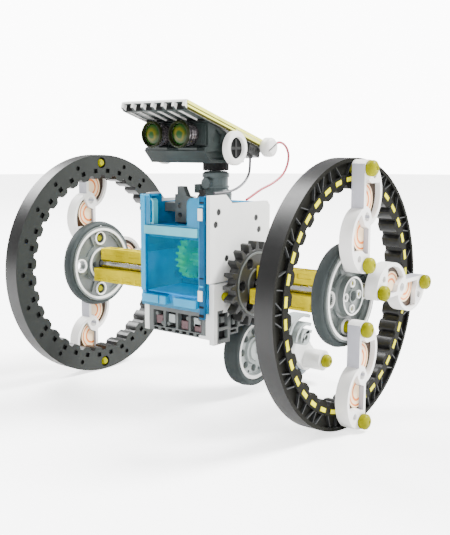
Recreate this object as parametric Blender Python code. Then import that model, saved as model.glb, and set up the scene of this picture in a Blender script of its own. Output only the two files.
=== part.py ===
"""A two-wheeled solar robot from a construction kit: geared body, solar head, ring wheels and a tail.

Lengths in this script are millimetres in a working frame whose YZ origin is under the wheel axle;
add_part() turns them into metres and centres the robot on the row's origin.
Axes: +X along the wheel axle to the robot's left hand, -Y the way its face looks, +Z up.
"""

import math

import bmesh
import bpy
from mathutils import Matrix, Vector

# ---------------------------------------------------------------- driving dimensions, millimetres
MM = 0.001
GAP = 0.3
CENTRE_SHIFT_Y = -3.0

RING_RADIUS = 55.0
RING_BORE = 45.0
RING_LUG_BORE = 43.2
RING_LUGS = 36
RING_X = (68.0, 76.0)
AXLE_Z = RING_RADIUS
AXLE_RADIUS = 2.0
AXLE_BORE = 2.25
AXLE_END = 75.0

HUB_RADIUS = 19.0
HUB_RIM = 2.0
HUB_BOSS = 8.0
HUB_SMALL_HOLES = 5.2
HUB_X = (69.0, 76.0)
HUB_WEB_X = (70.4, 73.5)
HUB_BOSS_END = 76.8
TYRE_RADIUS = 21.4
TYRE_X = (69.6, 75.0)

SPOKE_ANGLES = {"up": 90.0, "rear": 0.0, "down": 270.0}
SPOKE_MIDDLE = 32.0
SPOKE_PEG = 19.0
SPOKE_X = (RING_X[1] + GAP, 82.0)
SPOKE_WEB_X = (78.0, 79.6)
LOBE_CENTRE = 9.2
LOBE_SEMI = 13.2
LOBE_BULGE = 11.5
LOBE_FLAT = 3.0
RECESS_SEMI = 11.0
RECESS_BULGE = 9.5

PEG_SHAFT = 2.4
PEG_BORE = 2.7
PEG_HEAD = 3.2
PEG_HEAD_HEIGHT = 3.4

BAR_INNER = 1.5
BAR_HEIGHT = 6.5
BAR_SIDES = (-1.0, 6.0)
BAR_OUTER_X = HUB_X[0] - GAP

MODULE = 0.9
AXLE_GEAR_TEETH = 21
IDLER_TEETH = 20
PINION_TEETH = 8
IDLER_Y = -8.0
MOTOR_DIRECTION = math.radians(40.0)
FIRST_STAGE_X = (-3.0, 1.0)
SECOND_STAGE_X = (8.0, 12.4)
OUTER_GEAR_TEETH = 20
OUTER_GEAR_MODULE = 1.72
OUTER_GEAR_X = (24.4, 29.0)
MOTOR_RADIUS = 6.4
MOTOR_X = (-16.9, -4.9)

BODY_X = (-19.5, 18.9)
BODY_Y = (-22.0, 18.0)
BODY_Z = (43.5, 93.0)
WALL = 1.2
SHELF_Z = (75.5, 80.0)
SHELF_REAR = -12.0
PLATE_THICK = 2.0
CHASSIS_BASE = 31.8
BRACKET_BASE = 29.8

LOWER_WHEEL = (15.0, 20.5)
LOWER_WHEEL_RADIUS = 17.0
LOWER_WHEEL_HOLES = 8.4
LOWER_WHEEL_X = (11.0, 18.8)

TAIL_START = (16.0, 42.0)
TAIL_END = (50.0, 11.0)
TAIL_FOOT_RADIUS = 11.0
TAIL_ARM_X = (21.5, 24.0)
TAIL_BOSS_RADIUS = 5.0
TAIL_BOSS_END = 33.2

HEAD_X = 2.0
HEAD_HALF = 17.0
NECK_Y = 4.5
NECK_RADIUS = 5.6
EAR_CENTRE = (-7.5, 113.5)
EAR_RADIUS = 7.3
EYE_SPACING = 15.5
EYE_Z = 119.3
EYE_RADIUS = 5.6
EYE_STEM = 2.4
PANEL_FRONT = (-36.5, 133.2)
PANEL_SLOPE = math.radians(17.1)
PANEL_LENGTH = 55.5
PANEL_THICK = 4.0
PANEL_HALF = 18.0
CELL_BORDER = 2.2
CELL_DEPTH = 1.4

WIRE_RADIUS = 0.55

SHARP_ANGLE = math.radians(32.0)
ROUND = 28

# colour, metallic, roughness of each material
MATERIALS = {
    "ring_black": ((0.045, 0.05, 0.05), 0.0, 0.45),
    "tyre_rubber": ((0.05, 0.06, 0.06), 0.0, 0.75),
    "white_plastic": ((0.72, 0.73, 0.71), 0.0, 0.4),
    "grey_plastic": ((0.33, 0.37, 0.38), 0.0, 0.45),
    "dark_plastic": ((0.07, 0.075, 0.075), 0.0, 0.45),
    "slate_plastic": ((0.10, 0.13, 0.125), 0.0, 0.4),
    "yellow_plastic": ((0.72, 0.55, 0.02), 0.0, 0.35),
    "clear_blue": ((0.0, 0.32, 0.62), 0.0, 0.15),
    "dark_blue": ((0.0, 0.10, 0.28), 0.0, 0.25),
    "solar_blue": ((0.01, 0.02, 0.09), 0.2, 0.2),
    "steel": ((0.55, 0.56, 0.57), 1.0, 0.3),
    "red_wire": ((0.35, 0.02, 0.03), 0.0, 0.5),
    "black_wire": ((0.03, 0.03, 0.035), 0.0, 0.5),
}

# Working axes: an outline's first and second coordinates, then the way it is extruded.
TURNS = {
    "X": Matrix(((0, 0, 1, 0), (1, 0, 0, 0), (0, 1, 0, 0), (0, 0, 0, 1))),
    "Y": Matrix(((1, 0, 0, 0), (0, 0, -1, 0), (0, 1, 0, 0), (0, 0, 0, 1))),
    "Z": Matrix.Identity(4),
}
DIRECTIONS = {"X": Vector((1, 0, 0)), "Y": Vector((0, 1, 0)), "Z": Vector((0, 0, 1))}


# ---------------------------------------------------------------- scene and materials
def clear_scene():
    for item in list(bpy.data.objects):
        bpy.data.objects.remove(item, do_unlink=True)


def make_materials():
    for name, (colour, metallic, roughness) in MATERIALS.items():
        material = bpy.data.materials.new(name)
        material.use_nodes = True
        shader = material.node_tree.nodes["Principled BSDF"]
        shader.inputs["Base Color"].default_value = (*colour, 1.0)
        shader.inputs["Metallic"].default_value = metallic
        shader.inputs["Roughness"].default_value = roughness
        material.diffuse_color = (*colour, 1.0)


def make_collection(name):
    collection = bpy.data.collections.new(name)
    bpy.context.scene.collection.children.link(collection)
    return collection


def add_part(name, mesh, slot, origin=(0.0, 0.0, 0.0)):
    """Names a millimetre mesh, puts its origin on its joint axis and links it in metres."""
    shift = Vector((0.0, CENTRE_SHIFT_Y, 0.0))
    mesh.transform(Matrix.Scale(MM, 4) @ Matrix.Translation(-Vector(origin)))
    mesh.name = name
    mesh.materials.clear()
    mesh.materials.append(bpy.data.materials[slot])
    mesh.polygons.foreach_set("use_smooth", [True] * len(mesh.polygons))
    mesh.set_sharp_from_angle(angle=SHARP_ANGLE)
    part = bpy.data.objects.new(name, mesh)
    part.location = (Vector(origin) + shift) * MM
    PARTS.objects.link(part)
    return part


# ---------------------------------------------------------------- shapes
def finish_mesh(work):
    bmesh.ops.remove_doubles(work, verts=work.verts, dist=0.001)
    bmesh.ops.dissolve_degenerate(work, edges=work.edges, dist=0.001)
    bmesh.ops.recalc_face_normals(work, faces=work.faces)
    if work.calc_volume(signed=True) < 0:
        bmesh.ops.reverse_faces(work, faces=work.faces)
    mesh = bpy.data.meshes.new("shape")
    work.to_mesh(mesh)
    work.free()
    return mesh


def circle(centre, radius, count, start=0.0):
    return [
        (
            centre[0] + radius * math.cos(start + 2 * math.pi * i / count),
            centre[1] + radius * math.sin(start + 2 * math.pi * i / count),
        )
        for i in range(count)
    ]


def slab(outline, holes, ends, axis="X"):
    """A flat plate with holes, spanning ends along axis."""
    low, high = sorted(ends)
    curve = bpy.data.curves.new("outline", "CURVE")
    curve.dimensions = "2D"
    curve.fill_mode = "BOTH"
    curve.extrude = (high - low) / 2
    for loop in [outline] + list(holes):
        spline = curve.splines.new("POLY")
        spline.points.add(len(loop) - 1)
        for point, place in zip(spline.points, loop):
            point.co = (place[0], place[1], 0.0, 1.0)
        spline.use_cyclic_u = True
    holder = bpy.data.objects.new("outline", curve)
    flat = bpy.data.meshes.new_from_object(holder)
    bpy.data.objects.remove(holder)
    bpy.data.curves.remove(curve)
    work = bmesh.new()
    work.from_mesh(flat)
    bpy.data.meshes.remove(flat)
    middle = Matrix.Translation(DIRECTIONS[axis] * (low + high) / 2)
    bmesh.ops.transform(work, matrix=middle @ TURNS[axis], verts=work.verts)
    return finish_mesh(work)


def box(x, y, z, bevel=0.0):
    work = bmesh.new()
    bmesh.ops.create_cube(work, size=1.0)
    size = (x[1] - x[0], y[1] - y[0], z[1] - z[0])
    middle = ((x[0] + x[1]) / 2, (y[0] + y[1]) / 2, (z[0] + z[1]) / 2)
    bmesh.ops.scale(work, vec=size, verts=work.verts)
    bmesh.ops.translate(work, vec=middle, verts=work.verts)
    if bevel:
        bmesh.ops.bevel(work, geom=work.edges[:], offset=bevel, segments=1, affect="EDGES")
    return finish_mesh(work)


def lathe(profile, centre, steps=ROUND, axis="X"):
    """Turns a closed profile of (distance along the axis, radius) points about the axis."""
    work = bmesh.new()
    points = [work.verts.new((radius, 0.0, along)) for along, radius in profile]
    edges = [work.edges.new((a, b)) for a, b in zip(points, points[1:] + points[:1])]
    bmesh.ops.spin(
        work,
        geom=points + edges,
        cent=(0, 0, 0),
        axis=(0, 0, 1),
        angle=2 * math.pi,
        steps=steps,
        use_merge=True,
    )
    place = {"X": (0, *centre), "Y": (centre[0], 0, centre[1]), "Z": (*centre, 0)}[axis]
    turn = Matrix.Translation(place) @ TURNS[axis]
    bmesh.ops.transform(work, matrix=turn, verts=work.verts)
    return finish_mesh(work)


def rod(centre, radius, ends, steps=16, axis="X", start=0.0):
    return slab(circle(centre, radius, steps, start), [], ends, axis)


def solid_between(mesh, others, operation):
    """Cuts the others out of a mesh, or joins them to it."""
    holders = [bpy.data.objects.new("solid", each) for each in [mesh] + others]
    for holder in holders:
        bpy.context.scene.collection.objects.link(holder)
    for other in holders[1:]:
        modifier = holders[0].modifiers.new("boolean", "BOOLEAN")
        modifier.operation = operation
        modifier.solver = "EXACT"
        modifier.object = other
    bpy.context.view_layer.update()
    graph = bpy.context.evaluated_depsgraph_get()
    result = bpy.data.meshes.new_from_object(holders[0].evaluated_get(graph))
    for holder in holders:
        bpy.data.objects.remove(holder)
    work = bmesh.new()
    work.from_mesh(result)
    bpy.data.meshes.remove(result)
    return finish_mesh(work)


def cut(mesh, *cutters):
    return solid_between(mesh, list(cutters), "DIFFERENCE")


def join(mesh, *others):
    return solid_between(mesh, list(others), "UNION")


def gear_outline(teeth, module, centre, phase):
    """Trapezoid teeth with backlash; one tooth points at the phase angle."""
    pitch = teeth * module / 2
    root, tip = pitch - 1.15 * module, pitch + 0.85 * module
    pitch_angle = 2 * math.pi / teeth
    corners = ((root, -0.29), (tip, -0.13), (tip, 0.13), (root, 0.29))
    return [
        (
            centre[0] + radius * math.cos(phase + (tooth + part) * pitch_angle),
            centre[1] + radius * math.sin(phase + (tooth + part) * pitch_angle),
        )
        for tooth in range(teeth)
        for radius, part in corners
    ]


def capsule(start, end, start_radius, end_radius, count=8):
    """Outline of a link whose two round ends have their own radii."""
    heading = math.atan2(end[1] - start[1], end[0] - start[0])
    points = []
    for centre, radius, first in ((end, end_radius, -0.5), (start, start_radius, 0.5)):
        for i in range(count + 1):
            angle = heading + math.pi * (first + i / count)
            points.append(
                (centre[0] + radius * math.cos(angle), centre[1] + radius * math.sin(angle))
            )
    return points


def around_axle(angle, distance, side=0.0):
    """A YZ place at a distance from the axle along a spoke's direction, and to one side of it."""
    turn = math.radians(angle)
    return (
        distance * math.cos(turn) - side * math.sin(turn),
        AXLE_Z + distance * math.sin(turn) + side * math.cos(turn),
    )


# ---------------------------------------------------------------- ring wheels
def ring_mesh(side):
    inner = []
    for lug in range(RING_LUGS):
        step = 2 * math.pi / RING_LUGS
        for radius, part in (
            (RING_BORE, 0.04),
            (RING_LUG_BORE, 0.2),
            (RING_LUG_BORE, 0.62),
            (RING_BORE, 0.78),
        ):
            angle = (lug + part) * step
            inner.append((radius * math.cos(angle), AXLE_Z + radius * math.sin(angle)))
    holes = [
        circle(around_axle(angle, SPOKE_MIDDLE + SPOKE_PEG), PEG_BORE, 12)
        for angle in SPOKE_ANGLES.values()
    ]
    outer = circle((0.0, AXLE_Z), RING_RADIUS, 64, math.pi / 64)
    return slab(outer, [inner] + holes, (side * RING_X[0], side * RING_X[1]))


def hub_mesh(side):
    rim = HUB_RADIUS - HUB_RIM
    profile = (
        (HUB_X[0], rim),
        (HUB_X[0], HUB_RADIUS),
        (HUB_X[1], HUB_RADIUS),
        (HUB_X[1], rim),
        (HUB_WEB_X[1], rim),
        (HUB_WEB_X[1], HUB_BOSS),
        (HUB_BOSS_END, HUB_BOSS),
        (HUB_BOSS_END, AXLE_BORE),
        (HUB_X[0], AXLE_BORE),
        (HUB_X[0], HUB_BOSS),
        (HUB_WEB_X[0], HUB_BOSS),
        (HUB_WEB_X[0], rim),
    )
    body = lathe([(side * x, r) for x, r in profile], (0.0, AXLE_Z))
    ends = (side * (HUB_X[0] - 1), side * (HUB_BOSS_END + 1))
    cutters = []
    for distance, radius in ((SPOKE_MIDDLE - SPOKE_PEG, PEG_BORE), (HUB_SMALL_HOLES, 1.3)):
        for i in range(4):
            cutters.append(rod(around_axle(90 * i, distance), radius, ends, 12, start=0.2))
    return cut(body, *cutters)


def tyre_mesh(side):
    low, high = TYRE_X
    profile = (
        (low, HUB_RADIUS + GAP),
        (low, TYRE_RADIUS - 1.0),
        (low + 1.0, TYRE_RADIUS),
        (high - 1.0, TYRE_RADIUS),
        (high, TYRE_RADIUS - 1.0),
        (high, HUB_RADIUS + GAP),
    )
    return lathe([(side * x, r) for x, r in profile], (0.0, AXLE_Z), 40)


def lobe_edge():
    """One D-shaped half of a spoke, from the middle hole's side round the bulge to its flat edge."""
    start = math.asin(LOBE_FLAT / LOBE_BULGE)
    points = []
    for i in range(10):
        angle = start + (math.pi - start) * i / 9
        points.append((LOBE_CENTRE - LOBE_SEMI * math.cos(angle), LOBE_BULGE * math.sin(angle)))
    end = LOBE_CENTRE + LOBE_SEMI
    return points + [(end - 0.4, -1.8), (end - 1.6, -LOBE_FLAT)]


def recess_edge():
    """The sunk space inside a lobe, clear of the bosses round its holes."""
    points = [(4.4, -0.8)]
    first, last = math.radians(30), math.radians(108)
    for i in range(7):
        angle = first + (last - first) * i / 6
        points.append(
            (LOBE_CENTRE - RECESS_SEMI * math.cos(angle), RECESS_BULGE * math.sin(angle))
        )
    return points + [(12.8, 3.4), (14.4, -0.8)]


def on_spoke(points, angle, lobe):
    """Lobe points to YZ: lobe -1 is the half towards the hub, +1 the half towards the ring."""
    return [around_axle(angle, SPOKE_MIDDLE + lobe * s, -lobe * w) for s, w in points]


def spoke_mesh(side, angle):
    outline = on_spoke(lobe_edge(), angle, -1) + on_spoke(lobe_edge(), angle, 1)
    holes = [circle(around_axle(angle, SPOKE_MIDDLE), 1.9, 10)]
    for lobe in (-1, 1):
        holes.append(circle(around_axle(angle, SPOKE_MIDDLE + lobe * SPOKE_PEG), PEG_BORE, 12))
        holes.append(circle(on_spoke([(16.2, 5.2)], angle, lobe)[0], 1.4, 8))
    body = slab(outline, holes, (side * SPOKE_X[0], side * SPOKE_X[1]))
    inner_depth = (side * (SPOKE_X[0] - 1.0), side * SPOKE_WEB_X[0])
    outer_depth = (side * SPOKE_WEB_X[1], side * (SPOKE_X[1] + 1.0))
    recesses = [
        slab(on_spoke(recess_edge(), angle, lobe), [], depth)
        for lobe in (-1, 1)
        for depth in (inner_depth, outer_depth)
    ]
    return cut(body, *recesses)


def peg_mesh(place, side, shaft_start, head_start):
    profile = (
        (shaft_start, 0.0),
        (shaft_start, PEG_SHAFT),
        (head_start, PEG_SHAFT),
        (head_start, PEG_HEAD),
        (head_start + PEG_HEAD_HEIGHT * 0.7, PEG_HEAD),
        (head_start + PEG_HEAD_HEIGHT, PEG_HEAD - 1.1),
        (head_start + PEG_HEAD_HEIGHT, 0.0),
    )
    return lathe([(side * x, r) for x, r in profile], place, 10)


def bar_mesh(side, sign, inner_x):
    """One of the two bars that carry a wheel hub, notched round the axle; sign +1 is the upper."""
    radius = AXLE_RADIUS + 0.4
    start = math.asin(BAR_INNER / radius)
    stop = math.acos(BAR_SIDES[0] / radius)
    notch = [
        (radius * math.cos(a), radius * math.sin(a))
        for a in (stop + (start - stop) * i / 6 for i in range(7))
    ]
    top = BAR_INNER + BAR_HEIGHT
    corners = [(BAR_SIDES[1], BAR_INNER), (BAR_SIDES[1], top), (BAR_SIDES[0], top)]
    outline = [(sign * y, AXLE_Z + sign * z) for y, z in corners + notch]
    return slab(outline, [], (side * inner_x, side * BAR_OUTER_X))


def add_wheel(side, hand, bar_inner):
    centre = (side * (RING_X[0] + RING_X[1]) / 2, 0.0, AXLE_Z)
    add_part(f"ring_{hand}", ring_mesh(side), "ring_black", centre)
    add_part(f"hub_{hand}", hub_mesh(side), "white_plastic", centre)
    add_part(f"hub_tyre_{hand}", tyre_mesh(side), "tyre_rubber", centre)
    add_part(f"bar_upper_{hand}", bar_mesh(side, 1, bar_inner), "yellow_plastic", centre)
    add_part(f"bar_lower_{hand}", bar_mesh(side, -1, bar_inner), "yellow_plastic", centre)
    for place, angle in SPOKE_ANGLES.items():
        add_part(f"spoke_{place}_{hand}", spoke_mesh(side, angle), "white_plastic", centre)
        for end, lobe, start in (("hub", -1, HUB_WEB_X[0]), ("ring", 1, RING_X[0] - 0.4)):
            spot = around_axle(angle, SPOKE_MIDDLE + lobe * SPOKE_PEG)
            mesh = peg_mesh(spot, side, start, SPOKE_X[1] + GAP)
            add_part(f"peg_{end}_{place}_{hand}", mesh, "yellow_plastic", centre)


# ---------------------------------------------------------------- drive train
def train_places():
    """YZ centres of the idler and the motor, from the pitch radii."""
    first = MODULE * (AXLE_GEAR_TEETH + PINION_TEETH) / 2
    second = MODULE * (IDLER_TEETH + PINION_TEETH) / 2
    idler = (IDLER_Y, AXLE_Z + math.sqrt(first**2 - IDLER_Y**2))
    motor = (
        idler[0] + second * math.cos(MOTOR_DIRECTION),
        idler[1] + second * math.sin(MOTOR_DIRECTION),
    )
    return idler, motor


def add_drive_train():
    axle = (0.0, AXLE_Z)
    idler, motor = train_places()
    to_idler = math.atan2(idler[1] - AXLE_Z, idler[0])
    half_tooth = math.pi / PINION_TEETH

    shaft = rod(axle, AXLE_RADIUS, (-AXLE_END, AXLE_END))
    add_part("axle", shaft, "steel", (0.0, *axle))

    outline = gear_outline(AXLE_GEAR_TEETH, MODULE, axle, to_idler)
    gear = slab(outline, [circle(axle, AXLE_BORE, 16)], SECOND_STAGE_X)
    add_part("axle_gear", gear, "white_plastic", (0.0, *axle))

    outline = gear_outline(OUTER_GEAR_TEETH, OUTER_GEAR_MODULE, axle, math.pi / 2)
    windows = [circle(around_axle(60 * i, 10.5), 2.4, 8) for i in range(6)]
    gear = slab(outline, [circle(axle, AXLE_BORE, 16)] + windows, OUTER_GEAR_X)
    add_part("outer_gear", gear, "dark_plastic", (0.0, *axle))

    big = slab(gear_outline(IDLER_TEETH, MODULE, idler, MOTOR_DIRECTION), [], FIRST_STAGE_X)
    phase = to_idler + math.pi + half_tooth
    ends = (FIRST_STAGE_X[1] - 1.0, SECOND_STAGE_X[1])
    small = slab(gear_outline(PINION_TEETH, MODULE, idler, phase), [], ends)
    pin = rod(idler, 1.2, (FIRST_STAGE_X[0] - 2.0, 17.2), 12)
    add_part("idler_gear", join(big, small, pin), "yellow_plastic", (0.0, *idler))

    phase = MOTOR_DIRECTION + math.pi + half_tooth
    pinion = slab(gear_outline(PINION_TEETH, MODULE, motor, phase), [], FIRST_STAGE_X)
    add_part("motor_pinion", pinion, "white_plastic", (0.0, *motor))

    low, high = MOTOR_X
    nose = FIRST_STAGE_X[0] - 0.4
    profile = (
        (low, 0.0),
        (low, MOTOR_RADIUS - 1.4),
        (low + 1.0, MOTOR_RADIUS),
        (high, MOTOR_RADIUS),
        (high, 2.2),
        (nose, 2.2),
        (nose, 0.0),
    )
    add_part("motor", lathe(profile, motor, 20), "steel")


# ---------------------------------------------------------------- body
def housing_mesh():
    inner_x = (BODY_X[0] + WALL, BODY_X[1] - WALL)
    inner_y = (BODY_Y[0] + WALL, BODY_Y[1] - WALL)
    top = BODY_Z[1] + 2.0
    shell = box(BODY_X, BODY_Y, BODY_Z)
    lower_room = box(inner_x, inner_y, (BODY_Z[0] + 1.0, SHELF_Z[0]))
    upper_room = box(inner_x, inner_y, (SHELF_Z[1], top))
    passage = box(
        (inner_x[0] + 1.0, inner_x[1] - 1.0),
        (SHELF_REAR, inner_y[1] - 1.0),
        (SHELF_Z[0] - 5.0, SHELF_Z[1] + 5.0),
    )
    window = slab(
        [(-14.0, SHELF_Z[1] + 0.4), (7.5, SHELF_Z[1] + 0.4), (7.5, 90.5), (9.2, 92.2)]
        + [(12.0, 92.7), (14.0, 92.6), (14.0, top), (-14.0, top)],
        [],
        (BODY_Y[0] - 2.0, BODY_Y[0] + 2.0),
        "Y",
    )
    axle_hole = rod((0.0, AXLE_Z), 3.2, (BODY_X[0] - 2.0, BODY_X[1] + 2.0), 16)
    shell = cut(shell, lower_room, upper_room, passage, window, axle_hole)
    ledge = box((-18.0, 15.0), (BODY_Y[0] - 2.2, BODY_Y[0] + 0.6), (45.6, 49.4))
    sill = box((-18.0, 15.0), (BODY_Y[0] - 1.2, BODY_Y[0] + 0.6), (SHELF_Z[0] + 0.5, SHELF_Z[1] - 0.5))
    return join(shell, ledge, sill)


def right_plate_mesh():
    outline = [(-23.0, 56.8), (-23.0, 94.0), (-12.0, 94.0), (-7.5, 90.0), (18.0, 90.0), (20.0, 88.0)]
    outline += [(20.0, 34.0), (10.0, 34.0), (10.0, 44.0), (-9.0, 44.0), (-9.0, 56.8)]
    places = [(-17.0, 86.8), (-19.0, 81.6), (9.5, 82.8), (11.7, 77.4), (-11.5, 66.6), (14.0, 66.6)]
    holes = [circle(place, 1.5, 10) for place in places]
    holes.append(circle((0.0, AXLE_Z), AXLE_BORE, 16))
    low = BODY_X[1] + GAP
    return slab(outline, holes, (low, low + PLATE_THICK))


def left_plate_mesh():
    outline = [(-21.0, 46.0), (-21.0, 92.0), (-17.0, 94.0), (14.0, 94.0), (18.0, 90.0), (18.0, 46.0)]
    holes = [circle(place, 1.5, 10) for place in ((-14.0, 84.0), (11.0, 84.0))]
    holes.append(circle((0.0, AXLE_Z), AXLE_BORE, 16))
    high = BODY_X[0] - GAP
    return slab(outline, holes, (high - PLATE_THICK, high))


def top_bridge_mesh():
    """The grey bracket across the body's open top: a deck for the neck and a notched front."""
    deck = box((-18.0, 17.4), (-8.0, 14.0), (85.0, 89.0))
    outline = [(-10.5, 80.4), (-10.5, 93.0), (-9.0, 93.0), (-9.0, 96.6), (-5.6, 96.6), (-3.4, 92.4)]
    outline += [(1.6, 90.6), (3.2, 93.2), (6.8, 93.2), (6.8, 80.4)]
    holes = [circle((-7.6, 88.0), 1.3, 8), circle((-7.6, 83.6), 1.3, 8)]
    return join(deck, slab(outline, holes, (-9.4, -6.6), "Y"))


def side_bracket_mesh():
    """White piece under the right plate, stepping down and back over the lower wheel."""
    base = BRACKET_BASE
    outline = [(-21.0, base), (-21.0, 56.4), (-9.4, 56.4), (-9.4, 43.6), (7.0, 43.6), (7.0, base + 5.6)]
    outline += [(-4.0, base + 5.6), (-4.0, base + 3.0), (-10.0, base + 3.0), (-10.0, base)]
    places = [(-14.6, 50.6), (-17.4, base + 3.4), (-8.4, 38.8), (2.6, 39.4)]
    holes = [circle(place, 1.5, 8) for place in places]
    low = BODY_X[1] + GAP
    return slab(outline, holes, (low, low + 2.6))


def lower_chassis_mesh():
    block = box(BODY_X, (-20.0, -6.5), (CHASSIS_BASE, BODY_Z[0] - GAP), 0.8)
    pocket = box((-15.0, 14.4), (-21.0, -18.6), (CHASSIS_BASE + 2.6, 40.6))
    return cut(block, pocket)


def hanger_mesh():
    """Plate under the body that carries the lower wheel's pin."""
    y, z = LOWER_WHEEL
    top = BODY_Z[0] - GAP
    outline = [(y + 9.0, top), (y - 9.0, top), (y - 6.0, z - 2.0)]
    outline += [(y - 3.0, z - 5.6), (y + 3.0, z - 5.6), (y + 6.0, z - 2.0)]
    return slab(outline, [circle((y, z), 2.3, 12)], (4.6, 8.0))


def lower_wheel_mesh():
    low, high = LOWER_WHEEL_X
    rim = LOWER_WHEEL_RADIUS - 3.4
    profile = (
        (4.2, 0.0),
        (4.2, 2.0),
        (low, 2.0),
        (low, rim),
        (high - 0.6, rim),
        (high - 0.6, rim - 2.0),
        (high - 2.4, rim - 2.0),
        (high - 2.4, 5.0),
        (high - 0.4, 5.0),
        (high - 0.4, 0.0),
    )
    body = lathe(profile, LOWER_WHEEL)
    y, z = LOWER_WHEEL
    cutters = []
    for i in range(8):
        turn = 2 * math.pi * i / 8
        place = (y + LOWER_WHEEL_HOLES * math.cos(turn), z + LOWER_WHEEL_HOLES * math.sin(turn))
        cutters.append(rod(place, 1.8, (low - 1, high + 1), 8))
    return cut(body, *cutters)


def lower_tyre_mesh():
    low, high = LOWER_WHEEL_X
    inner = LOWER_WHEEL_RADIUS - 3.4 + GAP
    profile = (
        (low, inner),
        (low, LOWER_WHEEL_RADIUS - 1.2),
        (low + 1.2, LOWER_WHEEL_RADIUS),
        (high - 1.2, LOWER_WHEEL_RADIUS),
        (high, LOWER_WHEEL_RADIUS - 1.2),
        (high, inner),
    )
    return lathe(profile, LOWER_WHEEL, 36)


def add_body():
    add_part("gearbox_housing", housing_mesh(), "clear_blue")
    flange = box((15.7, BODY_X[1]), (BODY_Y[0] - 2.0, BODY_Y[0] - GAP), (41.0, 94.0), 0.4)
    add_part("housing_flange", flange, "dark_blue")
    add_part("side_plate_right", right_plate_mesh(), "white_plastic")
    add_part("side_plate_left", left_plate_mesh(), "white_plastic")
    add_part("top_bridge", top_bridge_mesh(), "grey_plastic")
    add_part("side_bracket", side_bracket_mesh(), "white_plastic")
    add_part("lower_chassis", lower_chassis_mesh(), "grey_plastic")
    add_part("wheel_hanger", hanger_mesh(), "grey_plastic")
    pin = (LOWER_WHEEL_X[0], *LOWER_WHEEL)
    add_part("lower_wheel", lower_wheel_mesh(), "grey_plastic", pin)
    add_part("lower_tyre", lower_tyre_mesh(), "tyre_rubber", pin)


# ---------------------------------------------------------------- tail
def tail_ribs_mesh():
    """Curved ribs standing on the tail arm's outer face."""
    outline = [(27.0, 22.0), (26.0, 31.0), (27.6, 36.0), (30.4, 37.6), (31.4, 36.2), (29.6, 31.6)]
    outline += [(31.4, 31.0), (33.4, 34.6), (36.6, 35.4), (37.2, 34.0), (35.0, 30.4), (36.6, 29.6)]
    outline += [(39.0, 31.6), (42.2, 31.6), (42.6, 30.0), (40.0, 27.8), (40.6, 22.0)]
    return slab(outline, [], (TAIL_ARM_X[1] - 1.0, TAIL_ARM_X[1] + 7.0))


def add_tail():
    holes = []
    for part in (0.08, 0.36, 0.62):
        y = TAIL_START[0] + (TAIL_END[0] - TAIL_START[0]) * part
        z = TAIL_START[1] + (TAIL_END[1] - TAIL_START[1]) * part
        holes.append(circle((y, z), 1.7, 10))
    arm = slab(capsule(TAIL_START, TAIL_END, 4.6, 6.4), holes, TAIL_ARM_X)
    boss = rod(TAIL_END, TAIL_BOSS_RADIUS, (TAIL_ARM_X[1] - 1.0, TAIL_BOSS_END), 20)
    bore = rod(TAIL_END, PEG_BORE, (TAIL_ARM_X[0] - 1.0, TAIL_BOSS_END + 1.0), 12)
    add_part("tail_arm", cut(join(arm, tail_ribs_mesh(), boss), bore), "white_plastic")
    low, high = 6.0, TAIL_ARM_X[0] - GAP
    profile = (
        (low, PEG_BORE),
        (low, TAIL_FOOT_RADIUS - 3.0),
        (low + 3.0, TAIL_FOOT_RADIUS),
        (high - 3.0, TAIL_FOOT_RADIUS),
        (high, TAIL_FOOT_RADIUS - 3.0),
        (high, PEG_BORE),
    )
    add_part("tail_foot", lathe(profile, TAIL_END, 24), "grey_plastic")
    peg = peg_mesh(TAIL_END, 1, low + 1.0, TAIL_BOSS_END + GAP)
    add_part("tail_peg", peg, "yellow_plastic")


# ---------------------------------------------------------------- head and solar panel
def panel_place(along, down):
    """YZ place on the solar panel: along its slope from the front edge, and down into it."""
    cosine, sine = math.cos(PANEL_SLOPE), math.sin(PANEL_SLOPE)
    return (
        PANEL_FRONT[0] + along * cosine - down * sine,
        PANEL_FRONT[1] - along * sine - down * cosine,
    )


def panel_block(along, down, x):
    corners = [(along[0], down[0]), (along[1], down[0]), (along[1], down[1]), (along[0], down[1])]
    return slab([panel_place(*corner) for corner in corners], [], x)


def panel_frame_mesh():
    sides = (HEAD_X - PANEL_HALF, HEAD_X + PANEL_HALF)
    outline = [(0.6, 0.0), (PANEL_LENGTH, 0.0), (PANEL_LENGTH, PANEL_THICK)]
    outline += [(2.4, PANEL_THICK), (0.0, PANEL_THICK - 1.0), (0.0, 0.6)]
    body = slab([panel_place(*point) for point in outline], [], sides)
    tray = panel_block(
        (CELL_BORDER, PANEL_LENGTH - CELL_BORDER),
        (-2.0, CELL_DEPTH),
        (sides[0] + CELL_BORDER, sides[1] - CELL_BORDER),
    )
    return cut(body, tray)


def solar_cell_mesh():
    border = CELL_BORDER + GAP
    return panel_block(
        (border, PANEL_LENGTH - border),
        (0.2, CELL_DEPTH - GAP),
        (HEAD_X - PANEL_HALF + border, HEAD_X + PANEL_HALF - border),
    )


def head_shell_mesh():
    """Angular head: a brow under the panel, a face plate with two eye sockets and a chin."""
    brow = panel_place(16.9, PANEL_THICK + GAP)
    crown = panel_place(29.0, PANEL_THICK + GAP)
    outline = [brow, (-21.6, 114.4), (-23.6, 113.6), (-24.2, 112.4), (-19.6, 107.3)]
    outline += [(3.0, 107.3), (3.0, 110.4), crown]
    body = slab(outline, [], (HEAD_X - HEAD_HALF, HEAD_X + HEAD_HALF))
    sockets = [rod((x, EYE_Z), EYE_STEM + GAP, (-24.0, -17.0), 16, "Y") for x in eye_places()]
    return cut(body, *sockets)


def eye_places():
    return (HEAD_X - EYE_SPACING / 2, HEAD_X + EYE_SPACING / 2)


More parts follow.
